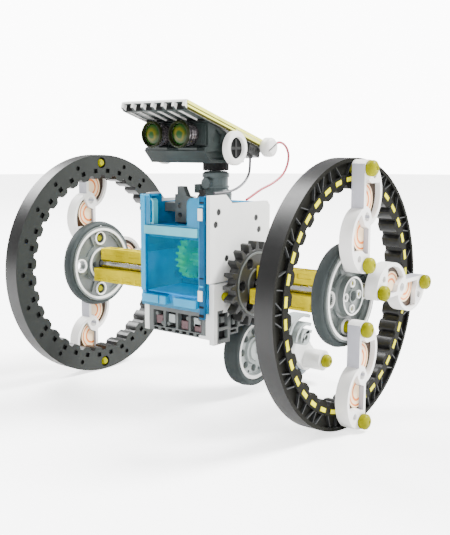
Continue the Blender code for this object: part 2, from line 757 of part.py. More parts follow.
def eye_mesh(x):
    """A barrel with a stem in the face plate and a dished front for the lens."""
    profile = (
        (-18.0, 0.0),
        (-18.0, EYE_STEM),
        (-22.0, EYE_STEM),
        (-22.0, EYE_RADIUS - 0.8),
        (-28.4, EYE_RADIUS - 0.8),
        (-28.4, EYE_RADIUS),
        (-30.6, EYE_RADIUS),
        (-30.6, EYE_RADIUS - 1.0),
        (-28.8, EYE_RADIUS - 1.4),
        (-28.2, 0.0),
    )
    turned = [(-y, r) for y, r in profile]
    return lathe(turned, (x, EYE_Z), 20, "Y")


def ear_mesh(side):
    low = PANEL_HALF + GAP
    profile = (
        (low, 0.0),
        (low, EAR_RADIUS - 0.8),
        (low + 0.8, EAR_RADIUS),
        (low + 2.6, EAR_RADIUS),
        (low + 3.4, EAR_RADIUS - 0.8),
        (low + 3.4, 4.0),
        (low + 2.0, 3.6),
        (low + 2.0, 0.0),
    )
    return lathe([(HEAD_X + side * x, r) for x, r in profile], EAR_CENTRE, 20)


def add_head():
    neck = (
        (BODY_Z[1] - 3.7, 0.0),
        (BODY_Z[1] - 3.7, 7.2),
        (BODY_Z[1] + 0.6, 7.2),
        (BODY_Z[1] + 2.4, NECK_RADIUS),
        (102.6, NECK_RADIUS),
        (103.2, NECK_RADIUS - 0.6),
        (103.2, 0.0),
    )
    neck_mesh = lathe(neck, (HEAD_X, NECK_Y), 18, "Z")
    boss = rod((HEAD_X, 98.0), 2.6, (NECK_Y - 7.4, NECK_Y), 12, "Y")
    add_part("neck", join(neck_mesh, boss), "grey_plastic")

    collar = ((103.5, 0.0), (103.5, 5.9), (107.0, 5.9), (107.0, 0.0))
    pivot = (HEAD_X, NECK_Y, 103.5)
    add_part("neck_collar", lathe(collar, (HEAD_X, NECK_Y), 18, "Z"), "dark_plastic", pivot)
    add_part("head_shell", head_shell_mesh(), "slate_plastic", pivot)
    for hand, x in zip(("left", "right"), eye_places()):
        add_part(f"eye_{hand}", eye_mesh(x), "dark_plastic", pivot)

    hinge = (HEAD_X, *EAR_CENTRE)
    add_part("ear_right", ear_mesh(1), "white_plastic", hinge)
    add_part("ear_left", ear_mesh(-1), "white_plastic", hinge)
    add_part("panel_frame", panel_frame_mesh(), "white_plastic", hinge)
    add_part("solar_cell", solar_cell_mesh(), "solar_blue", hinge)

    side = HEAD_X + PANEL_HALF + GAP
    knob = ((side, 0.0), (side, 3.6), (side + 1.0, 4.3), (side + 3.8, 4.3))
    knob += ((side + 5.0, 3.0), (side + 5.0, 0.0))
    add_part("panel_knob", lathe(knob, (16.4, 113.8), 14), "white_plastic", hinge)
    clip = panel_block((46.0, 54.8), (PANEL_THICK + GAP, PANEL_THICK + 5.8), (14.5, 19.8))
    add_part("panel_clip", clip, "dark_plastic", hinge)


# ---------------------------------------------------------------- wires
def smooth_route(knots, count):
    """Catmull-Rom points through hand-placed knots."""
    knots = [Vector(knot) for knot in knots]
    padded = [2 * knots[0] - knots[1]] + knots + [2 * knots[-1] - knots[-2]]
    points = []
    spans = len(knots) - 1
    for i in range(count):
        place = spans * i / (count - 1)
        span = min(int(place), spans - 1)
        t = place - span
        a, b, c, d = padded[span : span + 4]
        points.append(
            0.5 * (2 * b + (c - a) * t + (2 * a - 5 * b + 4 * c - d) * t**2 + (3 * b - a - 3 * c + d) * t**3)
        )
    return points


def wire_mesh(knots, count):
    curve = bpy.data.curves.new("wire", "CURVE")
    curve.dimensions = "3D"
    curve.bevel_depth = WIRE_RADIUS
    curve.bevel_resolution = 2
    curve.use_fill_caps = True
    route = smooth_route(knots, count)
    spline = curve.splines.new("POLY")
    spline.points.add(len(route) - 1)
    for point, place in zip(spline.points, route):
        point.co = (*place, 1.0)
    holder = bpy.data.objects.new("wire", curve)
    tube = bpy.data.meshes.new_from_object(holder)
    bpy.data.objects.remove(holder)
    bpy.data.curves.remove(curve)
    work = bmesh.new()
    work.from_mesh(tube)
    bpy.data.meshes.remove(tube)
    return finish_mesh(work)


RED_ROUTE = (
    (22.6, 21.8, 115.4),
    (22.6, 25.4, 116.0),
    (22.6, 29.6, 114.4),
    (22.6, 32.2, 110.6),
    (22.4, 31.6, 105.6),
    (22.2, 28.0, 101.2),
    (21.8, 21.4, 97.8),
    (21.2, 13.0, 95.2),
    (20.6, 6.6, 92.4),
    (20.2, 3.4, 91.0),
)
BLACK_ROUTE = (
    (18.0, 8.6, 104.2),
    (18.2, 7.2, 101.4),
    (18.8, 3.6, 98.6),
    (19.6, -2.2, 96.4),
    (20.2, -8.0, 95.3),
    (20.2, -13.0, 94.9),
    (20.2, -19.2, 94.9),
)


def add_wires():
    add_part("wire_red", wire_mesh(RED_ROUTE, 28), "red_wire")
    add_part("wire_black", wire_mesh(BLACK_ROUTE, 22), "black_wire")


# ---------------------------------------------------------------- build
clear_scene()
make_materials()
PARTS = make_collection("solar_robot")
add_wheel(1, "right", OUTER_GEAR_X[1] + 0.4)
add_wheel(-1, "left", -(BODY_X[0] - GAP - PLATE_THICK) + 0.6)
add_drive_train()
add_body()
add_tail()
add_head()
add_wires()
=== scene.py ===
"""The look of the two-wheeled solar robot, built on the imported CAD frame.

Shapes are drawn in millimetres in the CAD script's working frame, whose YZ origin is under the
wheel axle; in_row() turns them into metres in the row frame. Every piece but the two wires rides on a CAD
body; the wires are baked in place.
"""

import math

import bmesh
import bpy
from mathutils import Matrix, Vector


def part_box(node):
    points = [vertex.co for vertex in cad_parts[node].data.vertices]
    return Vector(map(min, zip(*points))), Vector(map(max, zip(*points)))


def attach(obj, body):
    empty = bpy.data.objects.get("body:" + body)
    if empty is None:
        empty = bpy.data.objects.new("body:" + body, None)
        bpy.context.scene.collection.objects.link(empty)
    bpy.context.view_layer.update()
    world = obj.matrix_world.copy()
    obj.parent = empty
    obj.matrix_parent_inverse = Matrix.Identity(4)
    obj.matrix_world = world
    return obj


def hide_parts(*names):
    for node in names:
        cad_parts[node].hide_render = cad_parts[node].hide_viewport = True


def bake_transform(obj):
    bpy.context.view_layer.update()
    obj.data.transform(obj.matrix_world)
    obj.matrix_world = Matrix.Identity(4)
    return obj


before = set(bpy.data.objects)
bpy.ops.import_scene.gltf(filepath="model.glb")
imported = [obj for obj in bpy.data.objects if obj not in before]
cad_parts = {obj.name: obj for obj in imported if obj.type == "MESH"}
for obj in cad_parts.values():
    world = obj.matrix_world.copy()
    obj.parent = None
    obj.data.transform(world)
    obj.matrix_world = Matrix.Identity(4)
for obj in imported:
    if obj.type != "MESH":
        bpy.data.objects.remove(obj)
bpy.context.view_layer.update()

# ---- dimensions, millimetres
MM = 0.001
RING_LOW, RING_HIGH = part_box("ring_right")
AXLE_Z = (RING_LOW.z + RING_HIGH.z) / 2 / MM
SHIFT_Y = (RING_LOW.y + RING_HIGH.y) / 2 / MM
IN_ROW = Matrix.Scale(MM, 4) @ Matrix.Translation((0.0, SHIFT_Y, 0.0))
AXLE_SPOT = (0.0, AXLE_Z)
GAP = 0.3
ROUND = 64

RING_RADIUS = 55.0
RING_BORE = 45.0
RING_LUG_BORE = 43.2
RING_LUGS = 36
LUG_STEP = 360.0 / RING_LUGS
RING_X = (68.0, 76.0)
GROOVE_RADII = (48.8, 53.4)
GROOVE_DEPTH = 1.4
NOTCH_RADII = (46.0, 48.2)
DASH_RADII = (46.0, 47.9)
DASH_HALF_ANGLE = 2.6
RIB_HALF = 0.19
RIB_SLANTS = (((0.0, 0.0), (6.0, 2.4)), ((1.6, 5.2),), ((0.0, 0.0), (8.4, 4.6)))
DIMPLES = 20
DIMPLE_RADIUS = 1.15

HUB_RADIUS = 19.0
HUB_X = (69.0, 76.0)
HUB_WEB_X = (70.4, 73.5)
HUB_BOSS = 8.0
HUB_BOSS_END = 76.8
HUB_SMALL_HOLES = 5.2
HUB_SMALL_RADIUS = 1.25
HUB_POCKET = (9.8, 15.6)
AXLE_BORE = 2.25
TYRE_X = (69.6, 75.0)
TYRE_RADIUS = 21.4

SIDES = ((1, "right"), (-1, "left"))
SPOKE_ANGLES = {"up": 90.0, "rear": 0.0, "down": 270.0}
SPOKE_MIDDLE = 32.0
SPOKE_PEG = 19.0
HUB_PEGS = SPOKE_MIDDLE - SPOKE_PEG
RING_PEGS = SPOKE_MIDDLE + SPOKE_PEG
SPOKE_X = (76.3, 82.0)
SPOKE_WEB_X = (78.0, 79.6)
LOBE_CENTRE = 9.2
LOBE_SEMI = 13.2
LOBE_BULGE = 11.5
LOBE_FLAT = 3.0
RECESS_SEMI = 11.6
RECESS_BULGE = 9.9
PEG_SHAFT = 2.4
PEG_BORE = 2.7
PEG_HEAD = 3.2
PEG_HEAD_HEIGHT = 3.4

OUTER_GEAR_FACE = 29.0
BAR_INNER = 1.5
BAR_HEIGHT = 6.5
BAR_SIDES = (-1.0, 6.0)
BAR_PANEL = 9.0
BAR_STARTS = {"right": 29.4, "left": 22.4}
AXLE_NOTCH = 2.4

HEAD_X = 2.0
EYE_SPACING = 15.5
EYE_Z = 119.3
EYE_RADIUS = 5.6
EYES = {"left": HEAD_X - EYE_SPACING / 2, "right": HEAD_X + EYE_SPACING / 2}
EYE_STEM = 2.4
EAR_CENTRE = (-7.5, 113.5)
EAR_RADIUS = 7.3
PANEL_FRONT = (-36.5, 133.2)
PANEL_SLOPE = math.radians(17.1)
PANEL_LENGTH = 55.5
PANEL_THICK = 4.0
PANEL_HALF = 18.0
CELL_BORDER = 2.2
CELL_DEPTH = 1.4

BODY_X = (-19.5, 18.9)
BODY_Y = (-22.0, 18.0)
BODY_Z = (43.5, 93.0)
WALL = 1.2
CHASSIS_FRONT = -20.0
CHASSIS_BASE = 31.8
BRACKET_BASE = 29.8
BRACKET_FACE = BODY_X[1] + GAP + 2.6
BRACKET_PEG = (-14.4, 50.4)
BRACKET_PEG_SCALE = 0.62
SHELF_Z = (75.5, 80.0)
PANE_SPANS = ((-16.8, 14.3), (49.2, 75.8))
PLATE_HOLES = ((-17.0, 86.8), (-19.0, 81.6), (9.5, 82.8), (11.7, 77.4), (-11.5, 66.6), (14.0, 66.6))
HEAD_HALF = 17.0
NECK_Y = 4.5
NECK_BANDS = ((7.3, (92.0, 93.4)), (6.1, (95.6, 96.6)), (6.1, (100.4, 102.4)))
KNOB_CENTRE = (16.4, 113.8)
KNOB_TURN = 0.5

LOWER_WHEEL = (15.0, 20.5)
LOWER_WHEEL_RADIUS = 17.0
LOWER_WHEEL_X = (11.0, 18.8)
LOWER_RIM = LOWER_WHEEL_RADIUS - 3.4
TAIL_START = (16.0, 42.0)
TAIL_END = (50.0, 11.0)
TAIL_ARM_X = (21.5, 24.0)
TAIL_BOSS_RADIUS = 5.0
TAIL_BOSS_END = 33.2
TAIL_FOOT_RADIUS = 11.0

WIRE_RADIUS = 0.55
WIRE_TURN_Z = (96.5, 104.0)

SHARP_ANGLE = math.radians(35)
MERGE = 0.001
GRAIN_SIZE = 0.35
GRAIN_DEPTH = 0.03

# ---- noise scales of the materials, per metre
SHADE_SCALE = 90.0
CLEAR_SHADE_SCALE = 60.0
CLEAR_SCALE = 150.0
GLOSS_SCALE = 260.0
LENS_SCALE = 330.0
CRYSTAL_SCALE = 420.0
FLOOR_SCALE = 4.0

# ---- camera in millimetres and degrees, lamps and floor in metres
CAMERA_AZIMUTH = 39.7
CAMERA_HEIGHT = 9.0
CAMERA_DISTANCE = 385.0
CAMERA_TARGET = (0.0, 0.0, 55.0)
CAMERA_LENS = 67.1
CAMERA_SHIFT = (0.042, 0.021)
SKY_LIGHT = 0.8
SKY_BACKDROP = 14.0
FLOOR_GLOW = 2.1
SUN_POWER = 14.0
SUN_SOFTNESS = 0.4
SUN_SIDE = (0.42, 0.51, 0.75)
LAMP_TARGET = (0.0, 0.0, 0.06)
FLOOR_RADIUS = 3.0


def in_row(place):
    return IN_ROW @ Vector(place)


def make_camera():
    turn, rise = math.radians(CAMERA_AZIMUTH), math.radians(CAMERA_HEIGHT)
    level = math.cos(rise)
    away = Vector((math.sin(turn) * level, -math.cos(turn) * level, math.sin(rise)))
    camera = bpy.data.cameras.new("camera")
    camera.sensor_fit = "HORIZONTAL"
    camera.sensor_width = 36.0
    camera.lens = CAMERA_LENS
    camera.shift_x, camera.shift_y = CAMERA_SHIFT
    camera.clip_start = 0.01
    holder = bpy.data.objects.new("camera", camera)
    holder.location = in_row(CAMERA_TARGET) + away * CAMERA_DISTANCE * MM
    holder.rotation_euler = (math.pi / 2 - rise, 0.0, turn)
    bpy.context.scene.collection.objects.link(holder)
    bpy.context.scene.camera = holder


# ---- materials
def new_material():
    """A new material with its tree, its main shader and its object coordinates."""
    material = bpy.data.materials.new("finish")
    material.use_nodes = True
    tree = material.node_tree
    coordinates = tree.nodes.new("ShaderNodeTexCoord").outputs["Object"]
    return material, tree, tree.nodes["Principled BSDF"], coordinates


def set_inputs(node, values):
    for name, value in values.items():
        node.inputs[name].default_value = value


def noise(tree, coordinates, scale, detail=3.0):
    node = tree.nodes.new("ShaderNodeTexNoise")
    set_inputs(node, {"Scale": scale, "Detail": detail})
    tree.links.new(coordinates, node.inputs["Vector"])
    return node.outputs["Fac"]


def remapped(tree, value, low, high):
    """A value from 0 to 1, stretched to low..high."""
    node = tree.nodes.new("ShaderNodeMapRange")
    set_inputs(node, {"To Min": low, "To Max": high})
    tree.links.new(value, node.inputs["Value"])
    return node.outputs["Result"]


def ramp(tree, factor, stops):
    node = tree.nodes.new("ShaderNodeValToRGB")
    elements = node.color_ramp.elements
    while len(elements) < len(stops):
        elements.new(0.5)
    for element, (place, colour) in zip(elements, stops):
        element.position = place
        element.color = (*colour, 1.0)
    tree.links.new(factor, node.inputs["Fac"])
    return node.outputs["Color"]


def drift(tree, shader, factor, low, high):
    """Lets the base colour drift from one shade to another."""
    shade = ramp(tree, factor, ((0.3, low), (0.7, high)))
    tree.links.new(shade, shader.inputs["Base Color"])


def scaled(colour, factor):
    return tuple(min(1.0, channel * factor) for channel in colour)


def camera_only(tree):
    """1 for what the camera sees directly, else 0."""
    return tree.nodes.new("ShaderNodeLightPath").outputs["Is Camera Ray"]


def add_grain(tree, shader, coordinates):
    """A fine moulded texture."""
    bump = tree.nodes.new("ShaderNodeBump")
    set_inputs(bump, {"Strength": 0.35, "Distance": GRAIN_DEPTH * MM})
    tree.links.new(noise(tree, coordinates, 1.0 / (GRAIN_SIZE * MM), 2.0), bump.inputs["Height"])
    tree.links.new(bump.outputs["Normal"], shader.inputs["Normal"])


def plastic(colour, roughness=(0.3, 0.45), spread=0.12, coat=0.0, metallic=0.0, sheen=0.5):
    """Moulded plastic with a slow drift of shade, uneven gloss and a fine grain."""
    material, tree, shader, coordinates = new_material()
    shade = noise(tree, coordinates, SHADE_SCALE)
    drift(tree, shader, shade, scaled(colour, 1.0 - spread), scaled(colour, 1.0 + spread))
    set_inputs(shader, {"Metallic": metallic, "Specular IOR Level": sheen})
    set_inputs(shader, {"Coat Weight": coat, "Coat Roughness": 0.12})
    gloss = remapped(tree, noise(tree, coordinates, GLOSS_SCALE), *roughness)
    tree.links.new(gloss, shader.inputs["Roughness"])
    add_grain(tree, shader, coordinates)
    return material


def clear_plastic(body, tint, solid, roughness=0.12):
    """See-through coloured plastic: a tinted clear layer mixed with a solid share."""
    material, tree, shader, coordinates = new_material()
    shade = noise(tree, coordinates, CLEAR_SHADE_SCALE)
    drift(tree, shader, shade, scaled(body, 0.85), scaled(body, 1.12))
    set_inputs(shader, {"Roughness": roughness, "Specular IOR Level": 0.25})
    set_inputs(shader, {"Coat Weight": 0.3, "Coat Roughness": 0.05})
    clear = tree.nodes.new("ShaderNodeBsdfTransparent")
    clear.inputs["Color"].default_value = (*tint, 1.0)
    mix = tree.nodes.new("ShaderNodeMixShader")
    weight = remapped(tree, noise(tree, coordinates, CLEAR_SCALE), solid - 0.05, solid + 0.05)
    tree.links.new(weight, mix.inputs["Fac"])
    tree.links.new(clear.outputs["BSDF"], mix.inputs[1])
    tree.links.new(shader.outputs["BSDF"], mix.inputs[2])
    tree.links.new(mix.outputs["Shader"], tree.nodes["Material Output"].inputs["Surface"])
    return material


def lens_glass(centre):
    """Coated lens: rings of dark green, leaf green and amber about its centre."""
    material, tree, shader, coordinates = new_material()
    place = tree.nodes.new("ShaderNodeMapping")
    place.vector_type = "TEXTURE"
    set_inputs(place, {"Location": in_row(centre), "Scale": (0.0073, 0.05, 0.0073)})
    tree.links.new(coordinates, place.inputs["Vector"])
    round_fade = tree.nodes.new("ShaderNodeTexGradient")
    round_fade.gradient_type = "SPHERICAL"
    tree.links.new(place.outputs["Vector"], round_fade.inputs["Vector"])
    wobble = tree.nodes.new("ShaderNodeMath")
    wobble.operation = "MULTIPLY_ADD"
    wobble.inputs[1].default_value = 0.3
    tree.links.new(noise(tree, coordinates, LENS_SCALE, 1.0), wobble.inputs[0])
    tree.links.new(round_fade.outputs["Fac"], wobble.inputs[2])
    stops = (
        (0.30, (0.002, 0.003, 0.001)),
        (0.48, (0.010, 0.018, 0.001)),
        (0.60, (0.002, 0.030, 0.004)),
        (0.74, (0.022, 0.032, 0.0)),
        (0.88, (0.070, 0.060, 0.0)),
        (0.98, (0.006, 0.035, 0.005)),
    )
    tree.links.new(ramp(tree, wobble.outputs["Value"], stops), shader.inputs["Base Color"])
    set_inputs(shader, {"Roughness": 0.25, "Specular IOR Level": 0.15})
    set_inputs(shader, {"Coat Weight": 0.15, "Coat Roughness": 0.05})
    return material


def solar_silicon():
    """Dark blue cell with crystal facets under a clear cover."""
    material, tree, shader, coordinates = new_material()
    crystals = tree.nodes.new("ShaderNodeTexVoronoi")
    crystals.inputs["Scale"].default_value = CRYSTAL_SCALE
    tree.links.new(coordinates, crystals.inputs["Vector"])
    grey = tree.nodes.new("ShaderNodeRGBToBW")
    tree.links.new(crystals.outputs["Color"], grey.inputs["Color"])
    stops = ((0.2, (0.006, 0.012, 0.055)), (0.8, (0.014, 0.035, 0.15)))
    tree.links.new(ramp(tree, grey.outputs["Val"], stops), shader.inputs["Base Color"])
    set_inputs(shader, {"Roughness": 0.3, "Coat Weight": 1.0, "Coat Roughness": 0.05})
    return material


def floor_paint():
    """Pale matt floor that the camera sees a little brighter than the light makes it."""
    material, tree, shader, coordinates = new_material()
    shade = noise(tree, coordinates, FLOOR_SCALE)
    drift(tree, shader, shade, (0.90, 0.90, 0.90), (0.93, 0.93, 0.93))
    set_inputs(shader, {"Roughness": 0.7, "Emission Color": (1.0, 1.0, 1.0, 1.0)})
    glow = tree.nodes.new("ShaderNodeMath")
    glow.operation = "MULTIPLY"
    glow.inputs[1].default_value = FLOOR_GLOW
    tree.links.new(camera_only(tree), glow.inputs[0])
    tree.links.new(glow.outputs["Value"], shader.inputs["Emission Strength"])
    return material


def make_materials():
    materials = {
        "ring": plastic((0.004, 0.004, 0.004), (0.3, 0.42), sheen=0.35),
        "ring_face": plastic((0.0125, 0.0145, 0.013), (0.45, 0.6), sheen=0.2),
        "ring_shade": plastic((0.005, 0.005, 0.0035), (0.5, 0.65), sheen=0.06),
        "ring_rib": plastic((0.016, 0.017, 0.017), (0.35, 0.5), sheen=0.3),
        "dark": plastic((0.003, 0.003, 0.003), (0.5, 0.7), sheen=0.15),
        "rubber": plastic((0.024, 0.031, 0.031), (0.6, 0.8), sheen=0.25),
        "white": plastic((0.66, 0.665, 0.645), spread=0.04, sheen=0.3),
        "warm_white": plastic((0.72, 0.71, 0.69), spread=0.05, sheen=0.3),
        # Painted shade: grey for the flat side walls of the white spokes.
        "flat_grey": plastic((0.36, 0.36, 0.40), (0.35, 0.5), spread=0.08, sheen=0.2),
        # Painted shade: dark grey for the body of the white plastic hub.
        "hub_grey": plastic((0.085, 0.098, 0.094), (0.3, 0.42), coat=0.1),
        "mid_grey": plastic((0.075, 0.083, 0.081), (0.35, 0.5), spread=0.3, sheen=0.3),
        "light_grey": plastic((0.27, 0.30, 0.295), (0.35, 0.5)),
        "neck_grey": plastic((0.07, 0.09, 0.09), (0.35, 0.5), spread=0.3, sheen=0.3),
        "blue_grey": plastic((0.095, 0.13, 0.155), (0.3, 0.42)),
        "charcoal": plastic((0.016, 0.0165, 0.016), (0.32, 0.46), sheen=0.3),
        "slate": plastic((0.014, 0.0195, 0.0185), (0.3, 0.42), spread=0.3, sheen=0.2),
        "yellow": plastic((0.50, 0.40, 0.0), spread=0.3, sheen=0.02),
        "olive": plastic((0.195, 0.19, 0.0), spread=0.35, sheen=0.05),
        "eye_olive": plastic((0.008, 0.011, 0.0015), spread=0.5, sheen=0.15),
        "dash": plastic((0.60, 0.56, 0.0), (0.4, 0.5), spread=0.2, sheen=0.05),
        "pale_yellow": plastic((0.76, 0.76, 0.14), (0.35, 0.5), spread=0.1, sheen=0.1),
        # Painted shade: dark olive for the grooves in the panel's side strips.
        "groove": plastic((0.03, 0.027, 0.002), (0.4, 0.5), sheen=0.1),
        "brown": plastic((0.03, 0.014, 0.006), (0.35, 0.45), spread=0.3, sheen=0.2),
        "orange": plastic((0.62, 0.15, 0.02), (0.35, 0.45), spread=0.25, sheen=0.2),
        "cream": plastic((0.80, 0.60, 0.38), (0.35, 0.45), sheen=0.2),
        "maroon": plastic((0.075, 0.03, 0.035), (0.4, 0.55)),
        "clear_blue": clear_plastic((0.0, 0.23, 0.41), (0.04, 0.7, 1.0), 0.55),
        "clear_pane": clear_plastic((0.0, 0.35, 0.6), (0.06, 0.9, 1.0), 0.08, 0.2),
        "pale_cyan": clear_plastic((0.1, 0.48, 0.56), (0.5, 0.88, 0.95), 0.7),
        # A lighter, more solid copy of the clear blue; on the shell's front edges it is a painted highlight.
        "bright_blue": clear_plastic((0.0, 0.34, 0.60), (0.08, 0.7, 1.0), 0.7),
        "inner_wall": plastic((0.0, 0.18, 0.3), (0.3, 0.4), spread=0.35, sheen=0.05),
        # Painted shade: a darker copy of the inner blue for the back and the upper walls.
        "inner_back": plastic((0.0, 0.1, 0.16), (0.3, 0.4), spread=0.3, sheen=0.05),
        # Painted light: a brighter copy of the inner blue for the floor.
        "inner_floor": plastic((0.03, 0.5, 0.9), (0.3, 0.4), sheen=0.1),
        "inner_yellow": plastic((0.04, 0.42, 0.03), (0.35, 0.5), sheen=0.05),
        # Painted shade: the darkest copy of the inner blue, for the ceiling and the wall tops under the
        # shelf.
        "dark_blue": plastic((0.02, 0.07, 0.11), (0.4, 0.5)),
        "deep_blue": plastic((0.0, 0.06, 0.14), (0.3, 0.4), spread=0.3, sheen=0.12),
        "chrome": plastic((0.23, 0.21, 0.22), (0.16, 0.28), spread=0.3, metallic=0.9),
        "steel": plastic((0.55, 0.55, 0.56), (0.2, 0.32), metallic=1.0),
        "silver": plastic((0.6, 0.62, 0.64), (0.25, 0.35), metallic=0.8),
        "red": plastic((0.36, 0.03, 0.05), (0.3, 0.4), spread=0.1),
        "black": plastic((0.05, 0.05, 0.055), (0.3, 0.4)),
        "cell": solar_silicon(),
        "floor": floor_paint(),
    }
    for hand, x in EYES.items():
        materials[f"lens_{hand}"] = lens_glass((x, -28.0, EYE_Z))
    for name, material in materials.items():
        material.name = name
    return materials


# ---- shapes
TURNS = {
    "X": Matrix(((0, 0, 1, 0), (1, 0, 0, 0), (0, 1, 0, 0), (0, 0, 0, 1))),
    "Y": Matrix(((1, 0, 0, 0), (0, 0, -1, 0), (0, 1, 0, 0), (0, 0, 0, 1))),
    "Z": Matrix.Identity(4),
}
DIRECTIONS = {"X": Vector((1, 0, 0)), "Y": Vector((0, 1, 0)), "Z": Vector((0, 0, 1))}


def to_mesh(work):
    bmesh.ops.remove_doubles(work, verts=work.verts, dist=MERGE)
    bmesh.ops.dissolve_degenerate(work, edges=work.edges, dist=MERGE)
    bmesh.ops.recalc_face_normals(work, faces=work.faces)
    if work.calc_volume(signed=True) < 0:
        bmesh.ops.reverse_faces(work, faces=work.faces)
    mesh = bpy.data.meshes.new("shape")
    work.to_mesh(mesh)
    work.free()
    return mesh


def used_up(mesh):
    """A bmesh of a mesh that isn't needed any more."""
    work = bmesh.new()
    work.from_mesh(mesh)
    bpy.data.meshes.remove(mesh)
    return work


def moved(mesh, matrix):
    """A copy of a mesh, moved; a mirrored copy keeps its faces outward."""
    copy = mesh.copy()
    copy.transform(matrix)
    if matrix.determinant() < 0:
        copy.flip_normals()
    return copy


def gathered(meshes):
    """Several closed meshes as one, keeping each one's material numbers."""
    work = bmesh.new()
    for mesh in meshes:
        work.from_mesh(mesh)
    whole = bpy.data.meshes.new("shape")
    work.to_mesh(whole)
    work.free()
    return whole


def polar(centre, radius, degrees):
    turn = math.radians(degrees)
    return (centre[0] + radius * math.cos(turn), centre[1] + radius * math.sin(turn))


def circle(centre, radius, count=24, start=0.0):
    return [polar(centre, radius, start + 360.0 * i / count) for i in range(count)]


def arc(centre, radius, first, last, count):
    return [polar(centre, radius, first + (last - first) * i / count) for i in range(count + 1)]


def add_spline(curve, places, closed):
    """Adds straight stretches from place to place."""
    spline = curve.splines.new("POLY")
    spline.points.add(len(places) - 1)
    for point, place in zip(spline.points, places):
        point.co = (*place, 1.0)
    spline.use_cyclic_u = closed


def curve_mesh(curve, placement):
    """The mesh that a curve stands for, in its place; the curve goes."""
    holder = bpy.data.objects.new("outline", curve)
    flat = bpy.data.meshes.new_from_object(holder)
    bpy.data.objects.remove(holder)
    bpy.data.curves.remove(curve)
    work = used_up(flat)
    bmesh.ops.transform(work, matrix=placement, verts=work.verts)
    return to_mesh(work)


def slab(outline, holes, ends, axis="X"):
    """A flat plate with holes, spanning ends along axis."""
    low, high = sorted(ends)
    curve = bpy.data.curves.new("outline", "CURVE")
    curve.dimensions = "2D"
    curve.fill_mode = "BOTH"
    curve.extrude = (high - low) / 2
    for loop in [outline] + list(holes):
        add_spline(curve, [(u, v, 0.0) for u, v in loop], True)
    middle = Matrix.Translation(DIRECTIONS[axis] * (low + high) / 2)
    return curve_mesh(curve, middle @ TURNS[axis])


def box(x, y, z):
    return slab([(y[0], z[0]), (y[1], z[0]), (y[1], z[1]), (y[0], z[1])], [], x)


def lathe(profile, centre, steps=ROUND, axis="X"):
    """Turns a closed profile of (distance along the axis, radius) points about the axis."""
    work = bmesh.new()
    points = [work.verts.new((radius, 0.0, along)) for along, radius in profile]
    edges = [work.edges.new((a, b)) for a, b in zip(points, points[1:] + points[:1])]
    bmesh.ops.spin(
        work,
        geom=points + edges,
        cent=(0, 0, 0),
        axis=(0, 0, 1),
        angle=2 * math.pi,
        steps=steps,
        use_merge=True,
    )
    place = {"X": (0, *centre), "Y": (centre[0], 0, centre[1]), "Z": (*centre, 0)}[axis]
    bmesh.ops.transform(work, matrix=Matrix.Translation(place) @ TURNS[axis], verts=work.verts)
    return to_mesh(work)


def ring_band(centre, radii, ends, steps=ROUND, axis="X"):
    """A plain ring of rectangular section."""
    profile = [(ends[0], radii[0]), (ends[0], radii[1]), (ends[1], radii[1]), (ends[1], radii[0])]
    return lathe(profile, centre, steps, axis)


def rod(centre, radius, ends, steps=24, axis="X", start=0.0):
    return slab(circle(centre, radius, steps, start), [], ends, axis)


def boolean(mesh, others, operation="DIFFERENCE"):
    """Cuts the others out of a mesh, or keeps what they share."""
    holders = [bpy.data.objects.new("solid", each) for each in [mesh] + list(others)]
    for holder in holders:
        bpy.context.scene.collection.objects.link(holder)
    for other in holders[1:]:
        modifier = holders[0].modifiers.new("boolean", "BOOLEAN")
        modifier.operation = operation
        modifier.solver = "EXACT"
        modifier.object = other
    bpy.context.view_layer.update()
    graph = bpy.context.evaluated_depsgraph_get()
    result = bpy.data.meshes.new_from_object(holders[0].evaluated_get(graph))
    for holder in holders:
        bpy.data.objects.remove(holder)
    return to_mesh(used_up(result))


def cut(mesh, cutters):
    """Cuts every cutter out of a mesh at once."""
    return boolean(mesh, [gathered(cutters)])


def paint(mesh, number):
    """Gives every face of a mesh one of its piece's materials."""
    mesh.polygons.foreach_set("material_index", [number] * len(mesh.polygons))
    return mesh


def paint_facing(mesh, direction, number):
    """Gives faces that look in a direction one of the piece's materials."""
    return paint_where(mesh, number, lambda centre, normal: normal.dot(direction) > 0.9)


def blocks(rows):
    """Boxes from rows of x, y and z spans and a material number."""
    return [paint(box(x, y, z), number) for x, y, z, number in rows]


def paint_where(mesh, number, test):
    """Gives faces one of the piece's materials, where a test of their centre and normal says so."""
    for face in mesh.polygons:
        if test(face.center, face.normal):
            face.material_index = number
    return mesh


def mirrored(side):
    """Mirrors a right-hand shape for the left side, where side is -1."""
    return Matrix.Diagonal((side, 1, 1, 1))


# ---- pieces
def soften(piece, bevel, weld=False):
    """Rounds a piece's sharp edges by a bevel in millimetres."""
    if weld:
        piece.modifiers.new("weld", "WELD").merge_threshold = 2 * MERGE * MM
    if bevel:
        modifier = piece.modifiers.new("bevel", "BEVEL")
        modifier.width = bevel * MM
        modifier.segments = 2
        modifier.limit_method = "ANGLE"
        modifier.angle_limit = SHARP_ANGLE
        modifier.harden_normals = True


def add_piece(name, mesh, body, materials, replaces="", slot=None, bevel=0.0, blend=None):
    """Turns a millimetre mesh into a piece in the row frame that rides on a body, or is baked in place when
    blend is given.

    replaces names the CAD node it stands for, slot is not used, bevel its edge rounding.
    """
    mesh.transform(IN_ROW)
    mesh.name = name
    for material in materials.split():
        mesh.materials.append(MATERIALS[material])
    mesh.polygons.foreach_set("use_smooth", [True] * len(mesh.polygons))
    mesh.set_sharp_from_angle(angle=SHARP_ANGLE)
    piece = bpy.data.objects.new(name, mesh)
    bpy.context.scene.collection.objects.link(piece)
    soften(piece, bevel)
    if blend:
        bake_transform(piece)
    else:
        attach(piece, body)
    if replaces:
        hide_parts(replaces)
    return piece


